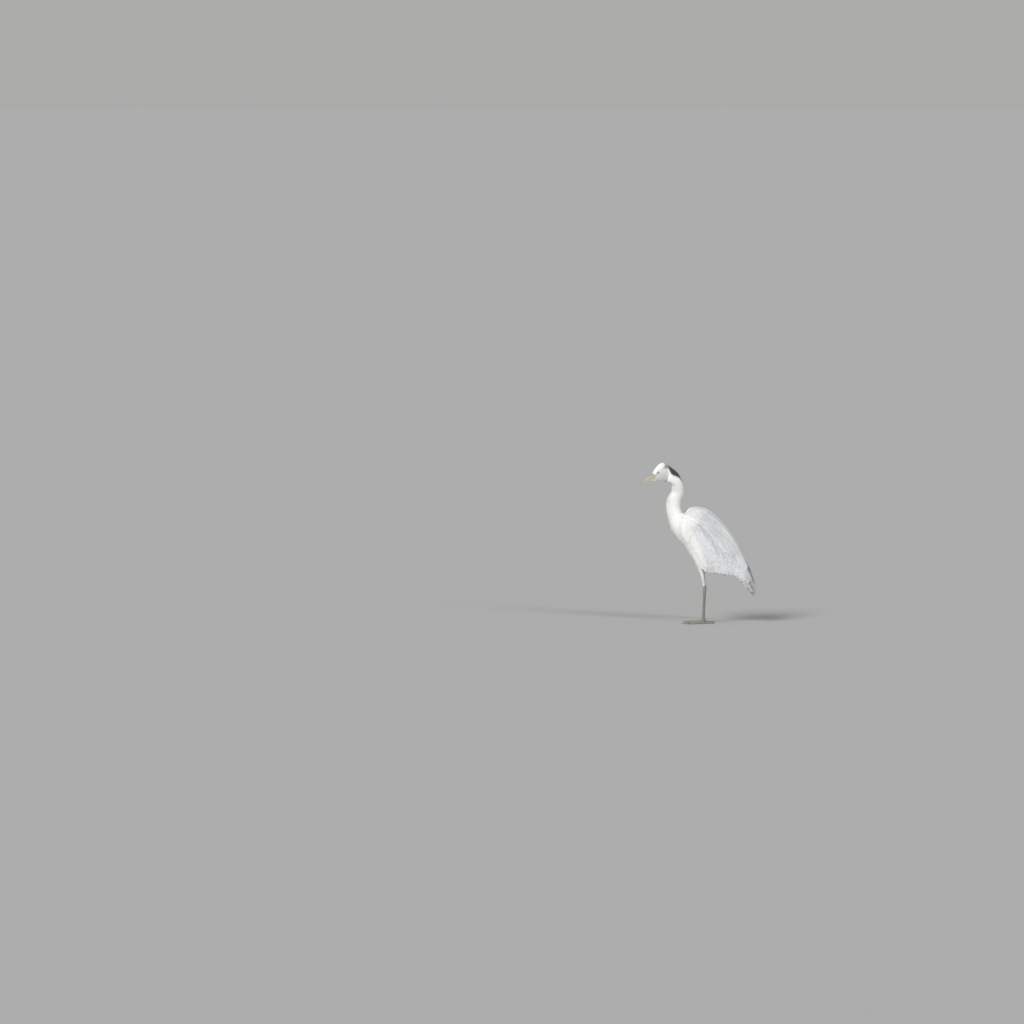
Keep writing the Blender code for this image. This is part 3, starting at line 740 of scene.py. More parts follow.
def mathNode(tree, operation, *values):
    return node(tree, "ShaderNodeMath", enumerate(values), operation=operation).outputs[0]


def noiseNode(tree, place, scale, detail):
    return node(tree, "ShaderNodeTexNoise", {"Vector": place, "Scale": scale, "Detail": detail}).outputs[0]


def objectPlace(tree, scale=1.0):
    place = node(tree, "ShaderNodeTexCoord").outputs["Object"]
    return node(tree, "ShaderNodeMapping", {"Vector": place, "Scale": (scale, scale, scale)}).outputs[0]


def tintAndBump(tree, shader, share, height, strength, depth):
    # the painted tint, made lighter or darker by a share, and bump from a height
    painted = node(tree, "ShaderNodeAttribute", attribute_name="tint").outputs["Color"]
    scaled = node(tree, "ShaderNodeVectorMath", {0: painted, "Scale": share}, operation="SCALE")
    tree.links.new(scaled.outputs[0], shader.inputs["Base Color"])
    bump = node(tree, "ShaderNodeBump", {"Height": height, "Strength": strength, "Distance": depth})
    tree.links.new(bump.outputs[0], shader.inputs["Normal"])


def featherMaterial(name, rough, barbs, depth, shaft=0.0, sheen=0.12):
    # barbs run back from the shaft at a slant, and a soft mottle breaks the colour
    gloss = {"Sheen_Weight": sheen, "Sheen_Roughness": 0.6, "Specular_IOR_Level": 0.25}
    made, tree, shader = newMaterial(name, rough, **gloss)
    place = node(tree, "ShaderNodeUVMap", uv_map="vane").outputs[0]
    parts = node(tree, "ShaderNodeSeparateXYZ", {0: place})
    across = mathNode(tree, "ABSOLUTE", parts.outputs["X"])
    slant = mathNode(tree, "MULTIPLY_ADD", across, -1.1, parts.outputs["Y"])
    wave = mathNode(tree, "SINE", mathNode(tree, "MULTIPLY", slant, 2 * math.pi / barbs))
    mottle = noiseNode(tree, objectPlace(tree, 60), 4.0, 3.0)
    share = mathNode(tree, "MULTIPLY_ADD", mottle, 0.16, 0.92)
    share = mathNode(tree, "MULTIPLY_ADD", wave, 0.018, share)
    if shaft:
        line = node(tree, "ShaderNodeMapRange", {"Value": across, "From Min": 0.15, "From Max": 0.55,
                                                 "To Min": 1 - shaft, "To Max": 1.0})
        share = mathNode(tree, "MULTIPLY", share, line.outputs[0])
    tintAndBump(tree, shader, share, wave, 0.5, depth)
    return made


def grainMaterial(name, rough, scale, strength, depth, variation=0.2):
    # skin, scales and claws: painted tint, with fine grain and bump from the same grain
    made, tree, shader = newMaterial(name, rough)
    grain = noiseNode(tree, objectPlace(tree), scale, 4.0)
    share = mathNode(tree, "MULTIPLY_ADD", grain, variation, 1 - variation / 2)
    tintAndBump(tree, shader, share, grain, strength, depth)
    return made


def billMaterial():
    # horn with fine lines along the bill and a faint mottle
    made, tree, shader = newMaterial("hornBill", 0.34, Coat_Weight=0.2, Coat_Roughness=0.25)
    place = node(tree, "ShaderNodeUVMap", uv_map="hornMap").outputs[0]
    long = node(tree, "ShaderNodeMapping", {"Vector": place, "Scale": (46.0, 2.2, 1.0)}).outputs[0]
    lines = noiseNode(tree, long, 1.0, 4.0)
    mottle = noiseNode(tree, objectPlace(tree, 90), 3.0, 3.0)
    share = mathNode(tree, "MULTIPLY_ADD", lines, 0.34, 0.70)
    share = mathNode(tree, "MULTIPLY_ADD", mottle, 0.26, share)
    tintAndBump(tree, shader, share, lines, 0.35, 0.00012)
    return made


softWhite = featherMaterial("softFeather", 0.85, 0.9, 0.00005)
wingVane = featherMaterial("wingFeather", 0.72, 1.1, 0.00006, shaft=0.16)
silkPlume = featherMaterial("silkPlume", 0.6, 1.4, 0.00005, sheen=0.2)
blackPlume = featherMaterial("blackPlume", 0.5, 1.2, 0.00004)
skinMaterial = grainMaterial("skin", 0.7, 700.0, 0.35, 0.0002)
hornMaterial = billMaterial()
legMaterial = grainMaterial("legScales", 0.55, 900.0, 0.35, 0.00012, variation=0.35)
clawMaterial = grainMaterial("clawHorn", 0.35, 600.0, 0.2, 0.0001, variation=0.3)
print("materials ready")


def solidTree(*names):
    verts, faces = [], []
    for name in names:
        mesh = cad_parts[name].data
        start = len(verts)
        verts += [v.co.copy() for v in mesh.vertices]
        faces += [[start + i for i in p.vertices] for p in mesh.polygons]
    return BVHTree.FromPolygons(verts, faces)


wingsTree = solidTree("wing_left", "wing_right")


def underWing(spine, normals):
    # true where both a feather's middle and its tip lie under a wing
    result = np.zeros(len(spine), bool)
    middle = spine.shape[1] // 2
    for i in range(len(spine)):
        hit = 0
        for k in (middle, -1):
            p, n = Vector(spine[i, k]), Vector(normals[i, k])
            found = wingsTree.ray_cast(p - n * 0.001, n, 0.05)
            hit += found[0] is not None
        result[i] = hit == 2
    return result


overlap = {"highest": 0.009, "clear": 0.0008, "curve": 1.3, "thighIn": 0.006, "thighUp": 0.018}


def overWing(spine, normals, stations):
    # feathers rooted just ahead of a wing are laid over its front edge, the others are left out
    spine, keep = spine.copy(), np.zeros(len(spine), bool)
    for i in range(len(spine)):
        heights = []
        for k in range(len(stations)):
            p, n = Vector(spine[i, k]), Vector(normals[i, k])
            covered = wingsTree.ray_cast(p - n * 0.002, n, 0.03)[0] is not None
            found = wingsTree.ray_cast(p + n * 0.04, -n, 0.05)[0] if covered else None
            heights.append((found - p).dot(n) if found is not None else 0.0)
        if heights[0] > 0 or max(heights) <= 0:
            continue
        first = next(k for k, h in enumerate(heights) if h > 0)
        highest = min(max(heights), overlap["highest"]) + overlap["clear"]
        share = np.minimum(1, (stations / stations[first]) ** overlap["curve"])
        spine[i] += normals[i] * (highest * share)[:, None]
        keep[i] = True
    return spine, keep


def overTop(spine, normals, stations):
    # the uppermost thigh feathers start unevenly behind and above the thigh's upper edge
    lead = ((1 - stations) ** 1.5)[None, :, None] * rng.uniform(0.1, 1.0, (len(spine), 1, 1))
    spine = spine - normals * overlap["thighIn"] * lead + np.array([0, 0, overlap["thighUp"]]) * lead
    return spine, np.ones(len(spine), bool)


def eyeCentre(side):
    return inHead(eye["forward"], eye["left"] * side, eye["up"])


eyeCentres = [eyeCentre(side) for side in (1, -1)]
lores = {"line": ((0.040, -0.0030), (0.0265, 0.0055)), "edge": (0.0056, 0.0030)}  # forward and up in the head


def loresShare(forward, up):
    # bare skin between the eye and the bill
    away, _ = segmentDistance(forward, up, *lores["line"])
    return ease(away, *lores["edge"])


def nearEye(spine, normals):
    # keeps the eyes, the lids and the bare lores clear
    result = np.zeros(len(spine), bool)
    for centre in eyeCentres:
        result |= (np.linalg.norm(spine - centre, axis=2) < eye["clear"]).any(1)
    forward, _, up = headPlace(spine[:, 0])
    result |= loresShare(forward, up) > 0.45
    return result


# which way feathers point
def alongBody(u, v, p, alongU):
    # towards the tail, drawn down by its weight on the neck and the flanks
    droop = 0.22 * ease(u, 8, 11) + 0.15 * ease(u, 14, 17)
    return alongU + droop[:, None] * np.array([0, 0, -1.0])


def straightOn(u, v, p, alongU):
    return alongU


def straightBack(u, v, p, alongU):
    return -alongU


def hangingDown(u, v, p, alongU):
    return alongU + np.array([0, 0, -0.9])


def overBack(u, v, p, alongU):
    # the two sides close over the rump
    return alongU + np.array([0, 1.0, 0]) * (0.16 * (0.5 - v) * ease(u, 6, 9))[:, None]


wingAngles = {  # below the horizon, against u, at the back edge and at the lower edge
    "topAlong": (0, 1, 3, 4.5, 6, 8, 10, 12), "top": (25, 12, 22, 36, 47, 54, 61, 67),
    "lowAlong": (0, 2, 5, 7, 9, 12), "low": (82, 84, 82, 72, 64, 63),
}


def wingLay(u, v, p, alongU):
    top = np.interp(u, wingAngles["topAlong"], wingAngles["top"])
    low = np.interp(u, wingAngles["lowAlong"], wingAngles["low"])
    angle = np.radians(top + (low - top) * ease(v, -0.05, 0.95))
    return np.stack([np.cos(angle), np.zeros(len(u)), -np.sin(angle)], axis=-1)


# Each coat's kinds of feather. A kind has its range of u and v, the step along and across, its length and
# half width in metres, and how it lies. within cuts it short at a largest u and keeps it between two values
# of v.
headFeathers = {
    "face": {"u": (0.0, 1.3), "step": (0.00105, 0.00095), "length": 0.0046, "half": 0.00075},
    "cheek": {"u": (1.3, 2.8), "step": (0.0015, 0.00125), "length": 0.0075, "half": 0.00095},
    "crown": {"u": (2.8, 5.6), "step": (0.0022, 0.0016), "length": 0.0125, "half": 0.00120,
              "style": dict(tuft, sink=0.0012)},
}
chinFeathers = {
    "chin": {"u": (0.1, 3.95), "v": (0.17, 0.83), "step": (0.0012, 0.0010), "length": 0.0055, "half": 0.00080,
             "style": dict(tuft, sink=0.0007)},
}


def growHead():
    coat = Coat("coatHead")
    clothe(coat, bodyShell, headFeathers, lay=alongBody, colour=headColour, style=tuft, hidden=nearEye)
    chinShell = rowShell(chinRow, span=(0, 4), tile=(0.01, 0.6, 0.4, 0.3))
    clothe(coat, chinShell, chinFeathers, lay=straightBack, colour=headColour)
    return coat


neckFeather = {
    "step": (0.0029, 0.0015, 0.16), "length": graded(0.016, 0.010, 6, 12),
    "half": graded(0.00100, 0.0005, 6, 12), "style": dict(tuft, sink=0.0012, thick=0.00017),
}


def growNeck(name, start, end):
    coat = Coat(name)
    clothe(coat, bodyShell, {"neck": neckFeather}, u=(start, end), lay=alongBody, colour=neckColour)
    return coat


bodyFeathers = {
    "breast": {"u": (12.3, 15.5), "step": (0.0036, 0.0021), "length": 0.026, "half": 0.0018,
               "style": dict(tuft, sink=0.0024, thick=0.00026), "hidden": underWing},
    "trunk": {"u": (15.5, 23.6), "step": (0.0058, 0.0044), "length": 0.030, "half": 0.0040,
              "style": dict(contour, sink=0.0030), "hidden": underWing},
    "collar": {"u": (12.2, 18.5), "v": (0.12, 0.88), "step": (0.0034, 0.0021),
               "length": graded(0.027, 0.007, 14.5, 16.5), "half": graded(0.0017, 0.0022, 14.5, 16.0),
               "style": dict(tuft, sink=0.0020, thick=0.0004), "drape": overWing, "spread": 0.16},
    "hanging": {"u": (11.4, 13.6), "v": (0.40, 0.60), "step": (0.0060, 0.0042),
                "length": between(0.050, 0.095), "half": 0.0016, "style": dict(plume, rise=0.0016),
                "lay": hangingDown, "lift": 0.0002, "spread": 0.14},
}


def growBody():
    coat = Coat("coatBody")
    clothe(coat, bodyShell, bodyFeathers, lay=alongBody, colour=bodyColour)
    return coat


thighFeathers = {
    "thigh": {"u": (0.1, 5.7), "step": (0.0036, 0.0021), "length": graded(0.018, -0.010, 1.5, 5),
              "half": graded(0.0018, -0.0009, 1.5, 5), "style": dict(tuft, sink=0.0018)},
    "crown": {"u": (0.02, 0.8), "step": (0.0030, 0.0024), "length": 0.028, "half": 0.0021,
              "style": dict(tuft, sink=0.0010, wide=(0.06, 1.0, 0.8, 0.08)), "drape": overTop, "lift": 0.0006,
              "spread": 0.16},
}


def halfTile(side):
    # the left and the right half of the bake map
    return (0.01 if side > 0 else 0.51, 0.01, 0.48, 0.98)


def growThighs():
    coat = Coat("coatThighs")
    for side in (1, -1):
        shell = rowShell(thighRow(side), span=(0, 6), tile=halfTile(side))
        clothe(coat, shell, thighFeathers, lay=straightOn, colour=thighColour, within=(6.0, -9, 9))
    return coat


crestFeathers = {
    "nape": {"length": between(0.022, 0.044), "half": 0.0017, "style": dict(plume, rise=0.0010),
             "lift": 0.0003},
    "plume": {"half": 0.0030, "style": dict(plume, rise=0.0022, thick=0.0008), "lift": 0.0016, "spread": 0.0},
}
# v and length of the long ones
crestPlumes = ((0.026, 0.128), (-0.026, 0.120), (0.055, 0.092), (-0.055, 0.088), (0.006, 0.104))


def growCrest():
    # black nape feathers and the long plumes that hang from them
    coat = Coat("coatCrest")
    count = 46
    roots = (rng.uniform(4.5, 5.7, count), rng.normal(0, 0.045, count))
    grow(coat, bodyShell, roots, alongBody, colour=crestColour, **crestFeathers["nape"])
    for v, length in crestPlumes:
        root = (np.array([4.85]), np.array([v]))
        grow(coat, bodyShell, root, alongBody, length=length, colour=crestColour, **crestFeathers["plume"])
    return coat


def rootLine(count, uStart, uEnd, vStart, vEnd):
    return np.linspace(uStart, uEnd, count), np.linspace(vStart, vEnd, count)


# in the order that they overlap: the lining, the flight feathers, then the coverts from the lower edge up
wingLining = {
    "lining": {"u": (0.6, 9.5), "v": (0.55, 0.99), "step": (0.012, 0.008), "length": 0.030, "half": 0.0056,
               "style": dict(contour, sink=0.001), "within": (12.2, -1, 1.01)},
}
wingFeathers = {
    "fringe": {"u": (4.4, 9.4), "v": (0.80, 0.93), "step": (0.0085, 0.010), "length": 0.045, "half": 0.0066,
               "colour": fringeColour, "style": dict(covert, sink=0.0010), "within": (12.2, -1, 1.02),
               "lift": -0.0036},
    "last": {"roots": rootLine(14, 8.7, 10.3, 0.84, 0.04), "length": 0.116, "half": 0.0100,
             "colour": flightColour, "style": quill, "within": (12.25, -0.02, 1.0), "lift": -0.0048,
             "spread": 0.03},
    "tips": {"roots": rootLine(9, 7.6, 9.6, 0.90, 0.50), "length": 0.118, "half": 0.0085,
             "colour": flightColour, "style": quill, "within": (12.25, -1, 1.02), "lift": -0.0040,
             "spread": 0.03},
    "inner": {"roots": rootLine(14, 7.8, 9.3, 0.74, 0.03), "length": 0.108, "half": 0.0100,
              "colour": tertialColour, "style": quill, "within": (12.2, -0.02, 1.0), "lift": -0.0030,
              "spread": 0.03, "edge": 0.10},
    "long": {"roots": rootLine(16, 6.6, 9.0, 0.64, 0.06), "length": 0.128, "half": 0.0115,
             "colour": tertialColour, "style": quill, "within": (12.2, -0.01, 1.0), "lift": -0.0022,
             "spread": 0.03, "edge": 0.10},
    "greater": {"u": (2.0, 8.9), "v": (0.66, 0.80), "step": (0.0085, 0.012), "length": 0.048, "half": 0.0070,
                "within": (12.0, -1, 0.985), "lift": -0.0020, "tip": white * 0.98, "tipShare": 0.85},
    "middle": {"u": (1.2, 9.1), "v": (0.20, 0.84), "step": (0.0098, 0.0082), "length": 0.036, "half": 0.0062,
               "within": (12.0, 0.0, 0.97), "lift": -0.0010, "edge": 0.08},
    "lesser": {"u": (-0.15, 2.6), "v": (0.0, 0.99), "step": (0.0056, 0.0052), "length": 0.021, "half": 0.0042,
               "style": contour, "within": (12.0, -0.01, 1.02), "edge": 0.06},
    "scapular": {"u": (0.4, 8.6), "v": (0.0, 0.34), "step": (0.0100, 0.0075),
                 "length": graded(0.040, 0.026, 1, 5), "half": 0.0056, "within": (12.0, 0.0, 1.0),
                 "lift": 0.0002, "edge": 0.10},
}


def growWing(side, name):
    coat = Coat(name)
    outer = wingShell(side, tile=(0.01, 0.01, 0.98, 0.66))
    under = wingShell(side, inner=True, tile=(0.01, 0.70, 0.98, 0.29))
    clothe(coat, under, wingLining, lay=wingLay, colour=wingColour)
    clothe(coat, outer, wingFeathers, lay=wingLay, colour=wingColour, style=covert)
    return coat


saddle = {"low": 0.0008, "crown": 0.0032, "droop": 0.004, "overlap": 0.0045, "start": -0.4}


def backShell():
    # bridges the two wings' back edges; v runs from the left wing to the right one
    def lineAt(u):
        here, ahead = rowAt(wingRow, u), rowAt(wingRow, np.asarray(u) + 0.05)
        way = unit((ahead - here)[..., 0:2])
        return here, np.stack([-way[..., 1], np.zeros(way.shape[:-1]), way[..., 0]], axis=-1)

    def point(u, v):
        here, out = lineAt(u)
        across = 2 * np.asarray(v, float) - 1
        rise = saddle["low"] + saddle["crown"] * (1 - across**2)
        rise = rise - saddle["droop"] * np.maximum(np.abs(across) - 0.85, 0)
        middle = np.stack([here[..., 0], across * (here[..., 4] + saddle["overlap"]), here[..., 1]], axis=-1)
        return legAxis + middle + out * rise[..., None]

    return Shell(point, lambda u, v, p: lineAt(u)[1], False, span=(saddle["start"], wingShape["end"]))


backFeathers = {
    "under": {"roots": (np.linspace(7.2, 9.3, 8), np.tile((0.3, 0.7), 4)), "length": 0.125, "half": 0.0115,
              "colour": rumpColour, "style": quill, "within": (12.2, -9, 9), "lift": -0.0026, "spread": 0.03},
    "over": {"roots": (np.linspace(5.8, 8.8, 10), np.tile((0.16, 0.84), 5)), "length": 0.105, "half": 0.0105,
             "colour": rumpColour, "style": quill, "within": (12.1, -9, 9), "lift": -0.0012, "spread": 0.03},
    "cover": {"u": (-0.9, 9.4), "v": (0.0, 1.0), "step": (0.0088, 0.0066),
              "length": graded(0.030, 0.020, 1, 5), "half": 0.0054, "colour": backColour, "style": covert,
              "within": (12.0, -9, 9)},
}


def growBack():
    # shoulder feathers and the long innermost flight feathers that close over the rump
    coat = Coat("coatBack")
    clothe(coat, backShell(), backFeathers, lay=overBack, edge=0.10)
    return coat


shoulderPlume = {
    "length": between(0.070, 0.115), "half": 0.0013, "within": (12.0, 0.0, 0.97), "lift": 0.0011,
    "style": dict(plume, thick=0.0005, rise=0.0010, sink=0.0022), "spread": 0.10,
}


def growPlumes():
    # long narrow silvery plumes that fall from the shoulders over both wings
    coat = Coat("coatPlumes")
    count = 60
    for side in (1, -1):
        shell = wingShell(side, tile=halfTile(side))
        roots = (rng.uniform(0.8, 6.2, count), rng.uniform(0.03, 0.44, count))
        grow(coat, shell, roots, wingLay, colour=silverColour, **shoulderPlume)
    return coat


tail = {"count": 12, "half": 0.0088, "start": 0.2, "run": 3.85, "top": 0.0024, "stack": 0.0052, "fan": 0.62,
        "flare": 0.12, "tone": 0.46}
tailFeathers = {
    "cover": {"u": (-0.2, 1.5), "step": (0.0075, 0.0065), "length": 0.030, "half": 0.0055,
              "style": dict(contour, sink=0.0030), "lift": -0.0005},
}


def growTail():
    # twelve folded feathers, the middle pair on top, with short coverts above and below
    coat = Coat("coatTail")
    stations = np.array(quill["at"])
    s = rowAt(tailRow, tail["start"] + tail["run"] * stations)
    up, left = unit(s[:, 3:6]), s[:, 6:9]
    spines, roots = [], []
    for f in np.linspace(-1, 1, tail["count"]):
        stack = tail["top"] - tail["stack"] * abs(f)
        fan = f * (tail["fan"] + tail["flare"] * stations)
        spines.append(s[:, 0:3] + left * fan[:, None] + up * stack)
        roots.append((0.5 + 0.45 * f, 0.8))
    count = len(spines)
    rgb = np.array([tail["tone"] * greyCast * (1 - 0.10 * (i % 2)) for i in range(count)])
    spines, roots, normals = np.array(spines), np.array(roots), np.array([up] * count)
    coat.add(spines, normals, np.full(count, tail["half"]), rgb, roots, quill, edge=0.06)
    remember(spines[:, 1], rgb)
    clothe(coat, rowShell(tailRow, span=(0, 4)), tailFeathers, lay=straightOn, colour=tailCoverColour)
    return coat


coats = [
    (growHead(), softWhite, "white_feathers", ()),
    (growNeck("coatNeckUpper", 5.4, 9.2), softWhite, "white_feathers", ()),
    (growNeck("coatNeckLower", 9.2, 12.6), softWhite, "white_feathers", ()),
    (growBody(), softWhite, "white_feathers", ()),
    (growThighs(), softWhite, "white_feathers", ()),
    (growCrest(), blackPlume, "black_feathers", ("crest_left", "crest_right")),
    (growWing(1, "coatWingLeft"), wingVane, "grey_feathers", ()),
    (growWing(-1, "coatWingRight"), wingVane, "grey_feathers", ()),
    (growBack(), wingVane, "grey_feathers", ()),
    (growPlumes(), silkPlume, "grey_feathers", ()),
    (growTail(), wingVane, "slate_feathers", ()),
]
for coat, material, slotName, nodes in coats:
    coat.build(material, slotName, nodes)
print("feathers grown")

skinDepth = {  # how far the skin lies inside the solids, under the feathers
    "face": 0.0011, "lores": 0.0002, "chin": 0.0009, "neck": 0.0018, "trunk": 0.0042, "thigh": 0.0022,
    "wing": 0.0046, "tail": 0.0026,
}
skinMesh = {"headVoxel": 0.00095, "headRounds": 3, "bodyVoxel": 0.0034, "bodyRounds": 2, "smooth": 0.5}


def turnOutwards(mesh):
    shape = bmesh.new()
    shape.from_mesh(mesh)
    bmesh.ops.recalc_face_normals(shape, faces=shape.faces)
    shape.to_mesh(mesh)
    shape.free()


def fromFaces(name, co, faces):
    mesh = bpy.data.meshes.new(name)
    mesh.from_pydata(co.tolist(), [], faces)
    turnOutwards(mesh)
    mesh.shade_smooth()
    return linked(name, mesh)


def fromShape(name, shape):
    mesh = bpy.data.meshes.new(name)
    shape.to_mesh(mesh)
    shape.free()
    return linked(name, mesh)


def coordsOf(made):
    co = np.zeros(len(made.data.vertices) * 3, np.float32)
    made.data.vertices.foreach_get("co", co)
    return co.reshape(-1, 3)


def surface(made, material):
    made.data.materials.clear()
    made.data.materials.append(material)
    made.data.shade_smooth()


def lofted(name, rings):
    # one closed body through rings of points, with a fan at each end
    rings = [np.asarray(r, float) for r in rings]
    points = len(rings[0])
    co = np.concatenate(rings + [rings[0].mean(0)[None], rings[-1].mean(0)[None]])
    start, end = len(co) - 2, len(co) - 1
    faces = []
    for s in range(len(rings) - 1):
        a, b = s * points, (s + 1) * points
        faces += [(a + k, a + (k + 1) % points, b + (k + 1) % points, b + k) for k in range(points)]
    last = (len(rings) - 1) * points
    faces += [(start, (k + 1) % points, k) for k in range(points)]
    faces += [(end, last + k, last + (k + 1) % points) for k in range(points)]
    return fromFaces(name, co, faces)


def insetLoft(name, shell, start, end, rings, points, depthOf):
    # a body inside a shell; the depth is a number or a function of (u, v, point)
    made = []
    v = np.arange(points) / points
    for place in np.linspace(start, end, rings):
        u = np.full(points, place)
        p, _, _, n = shell.frameAt(u, v)
        depth = depthOf(u, v, p) if callable(depthOf) else np.full(points, depthOf)
        made.append(p - n * depth[:, None])
    return lofted(name, made)


def joined(name, pieces):
    shape = bmesh.new()
    for piece in pieces:
        shape.from_mesh(piece.data)
        bpy.data.objects.remove(piece)
    return fromShape(name, shape)


def applied(made):
    graph = bpy.context.evaluated_depsgraph_get()
    data = bpy.data.meshes.new_from_object(made.evaluated_get(graph))
    made.modifiers.clear()
    made.data = data
    return made


def remeshed(made, voxel, rounds):
    change = made.modifiers.new("voxels", "REMESH")
    change.mode = "VOXEL"
    change.voxel_size = voxel
    change.adaptivity = 0.0
    soften = made.modifiers.new("soften", "SMOOTH")
    soften.factor = skinMesh["smooth"]
    soften.iterations = rounds
    return applied(made)


def united(made, other):
    change = made.modifiers.new("unite", "BOOLEAN")
    change.operation = "UNION"
    change.solver = "EXACT"
    change.object = other
    applied(made)
    bpy.data.objects.remove(other)
    return made


def ellipsoid(name, centre, axes, radii, segments=32, rings=16):
    shape = bmesh.new()
    bmesh.ops.create_uvsphere(shape, u_segments=segments, v_segments=rings, radius=1.0)
    turn = Matrix([[axes[c][r] * radii[c] for c in range(3)] for r in range(3)])
    bmesh.ops.transform(shape, matrix=Matrix.Translation(Vector(centre)) @ turn.to_4x4(), verts=shape.verts)
    made = fromShape(name, shape)
    made.data.shade_smooth()
    return made


def eyeAxes(side):
    # the first points forward along the lid, the second up and the third out of the head
    turn, tilt = math.radians(eye["turn"]), math.radians(eye["tilt"])
    out = headLeft * side * math.cos(turn) + headForward * math.sin(turn) + headUp * math.tan(tilt)
    out = unit(out)
    forward = unit(headForward - out * float(dot(headForward, out)))
    return forward, unit(np.cross(out, forward)) * side, out


lid = {"reach": 0.00585, "wide": 0.00115, "thick": 0.00075, "lift": 0.00125, "dip": 0.0006, "corner": 0.10,
       "flat": 0.07, "around": 56, "across": 14}


def lidRing(side):
    # a low fold round the eye, drawn to a corner in front and behind
    centre = eyeCentre(side)
    forward, up, out = eyeAxes(side)
    co = []
    for a in np.linspace(0, 2 * np.pi, lid["around"], endpoint=False):
        corner = 1 + lid["corner"] * math.cos(a) ** 6
        flat = 1 - lid["flat"] * abs(math.sin(a))
        way = forward * math.cos(a) * corner + up * math.sin(a) * flat
        middle = centre + way * lid["reach"] + out * (lid["lift"] - lid["dip"] * math.cos(a) ** 4)
        for b in np.linspace(0, 2 * np.pi, lid["across"], endpoint=False):
            co.append(middle + way * lid["wide"] * math.cos(b) + out * lid["thick"] * math.sin(b))
    n, m = lid["around"], lid["across"]
    faces = [(i * m + k, ((i + 1) % n) * m + k, ((i + 1) % n) * m + (k + 1) % m, i * m + (k + 1) % m)
             for i in range(n) for k in range(m)]
    return fromFaces("lid", np.array(co), faces)


wingArm = {"u": (0.25, 9.3), "rings": 46, "down": (0.06, 0.93), "points": 30, "edge": 0.0034, "thick": 0.022,
           "depth": (0.55, 0.45), "thinEnd": 0.005}  # depth: share at the edges, and what the middle adds


def wingCore(side):
    # the arm and the roots of the flight feathers, lens-shaped across
    rings = []
    low, high = wingArm["down"]
    down = np.linspace(low, high, wingArm["points"])
    for u in np.linspace(*wingArm["u"], wingArm["rings"]):
        s = rowAt(wingRow, np.full(len(down), u))
        lens = np.sin(np.pi * (down - low) / (high - low))
        depth = skinDepth["wing"] * (wingArm["depth"][0] + wingArm["depth"][1] * lens)
        outer = wingReach(s, down) - depth - wingArm["thinEnd"] * ease(u, 7.4, 9.2)
        inner = outer - wingArm["edge"] - wingArm["thick"] * lens * ease(u, 11.3, 7.0)
        rings.append(np.concatenate([wingPoint(s, down, side, outer), wingPoint(s, down, side, inner)[::-1]]))
    return lofted("wingCore", rings)


def headDepth(u, v, p):
    forward, _, up = headPlace(p)
    bare = loresShare(forward, up) * ease(u, 2.2, 1.4)
    covered = skinDepth["face"] + (skinDepth["neck"] - skinDepth["face"]) * ease(u, 2.5, 5.5)
    return covered * (1 - bare) + skinDepth["lores"] * bare


def bodyDepth(u, v, p):
    neck = skinDepth["neck"] + (skinDepth["trunk"] - skinDepth["neck"]) * ease(u, 12, 15)
    return neck + 0.004 * ease(u, 6.1, 5.6)


def thighDepth(u, v, p):
    return skinDepth["thigh"] * (1 - 0.6 * ease(u, 3.5, 5))


def makeSkin():
    # fine over the head, coarser over the body, united inside the neck
    pieces = [
        insetLoft("headCore", bodyShell, -0.12, 6.3, 70, 72, headDepth),
        insetLoft("chinCore", rowShell(chinRow), 0, 3.7, 24, 40, skinDepth["chin"]),
    ]
    for side in (1, -1):
        axes = eyeAxes(side)
        pieces.append(ellipsoid("eyeBed", eyeCentre(side) - axes[2] * eye["bedSink"], axes, eye["bedRadii"]))
    skin = remeshed(joined("skin", pieces), skinMesh["headVoxel"], skinMesh["headRounds"])
    for side in (1, -1):
        skin = united(skin, lidRing(side))
    pieces = [insetLoft("bodyCore", bodyShell, 5.6, 23.9, 110, 80, bodyDepth)]
    for side in (1, -1):
        pieces.append(insetLoft("thighCore", rowShell(thighRow(side)), 0, 5, 24, 40, thighDepth))
        pieces.append(wingCore(side))
    pieces.append(insetLoft("tailCore", rowShell(tailRow), 0, 1.5, 12, 40, skinDepth["tail"]))
    body = remeshed(joined("bodySkin", pieces), skinMesh["bodyVoxel"], skinMesh["bodyRounds"])
    return united(skin, body)


skinTint = {
    "share": 0.93,  # of the feathers' brightness
    # lidInner and the share after it paint shade inside the lids, in the crease against the eyeball
    "loresBack": (0.018, 0.024), "lidOuter": (0.0088, 0.0076), "lidInner": (0.0058, 0.0050), "lidCreaseShade": 0.7,
}


def paintSkin(skin):
    # points take the colour of the nearest feather root; lores and lids are bare, and painted shade darkens
    # the inside of the lids where they meet the eyeball
    places, colours = np.concatenate(rootPlaces), np.concatenate(rootColours)
    tree = KDTree(len(places))
    for i, p in enumerate(places):
        tree.insert(p, i)
    tree.balance()
    co = coordsOf(skin)
    nearest = np.array([tree.find(p)[1] for p in co])
    rgb = colours[nearest] * skinTint["share"]
    forward, _, up = headPlace(co)
    bare = loresShare(forward, up) * ease(forward, *skinTint["loresBack"])
    fromEyes = [np.linalg.norm(co - centre, axis=1) for centre in eyeCentres]
    for away in fromEyes:
        bare = np.maximum(bare, ease(away, *skinTint["lidOuter"]))
    rgb = blend(rgb, np.array(tones["lores"]), bare)
    # painted shade: darker inside the lids, in the crease against the eyeball
    for away in fromEyes:
        rgb = rgb * (1 - skinTint["lidCreaseShade"] * ease(away, *skinTint["lidInner"]))[:, None]
    paint(skin, rgb)


skin = makeSkin()
surface(skin, skinMaterial)
paintSkin(skin)
settle(skin, ("head", "neck_upper", "neck_middle", "neck_lower", "trunk", "tail",
                                "wing_left", "wing_right", "thigh_left", "thigh_right"))
print("skin:", sum(len(p.vertices) - 2 for p in skin.data.polygons), "triangles")

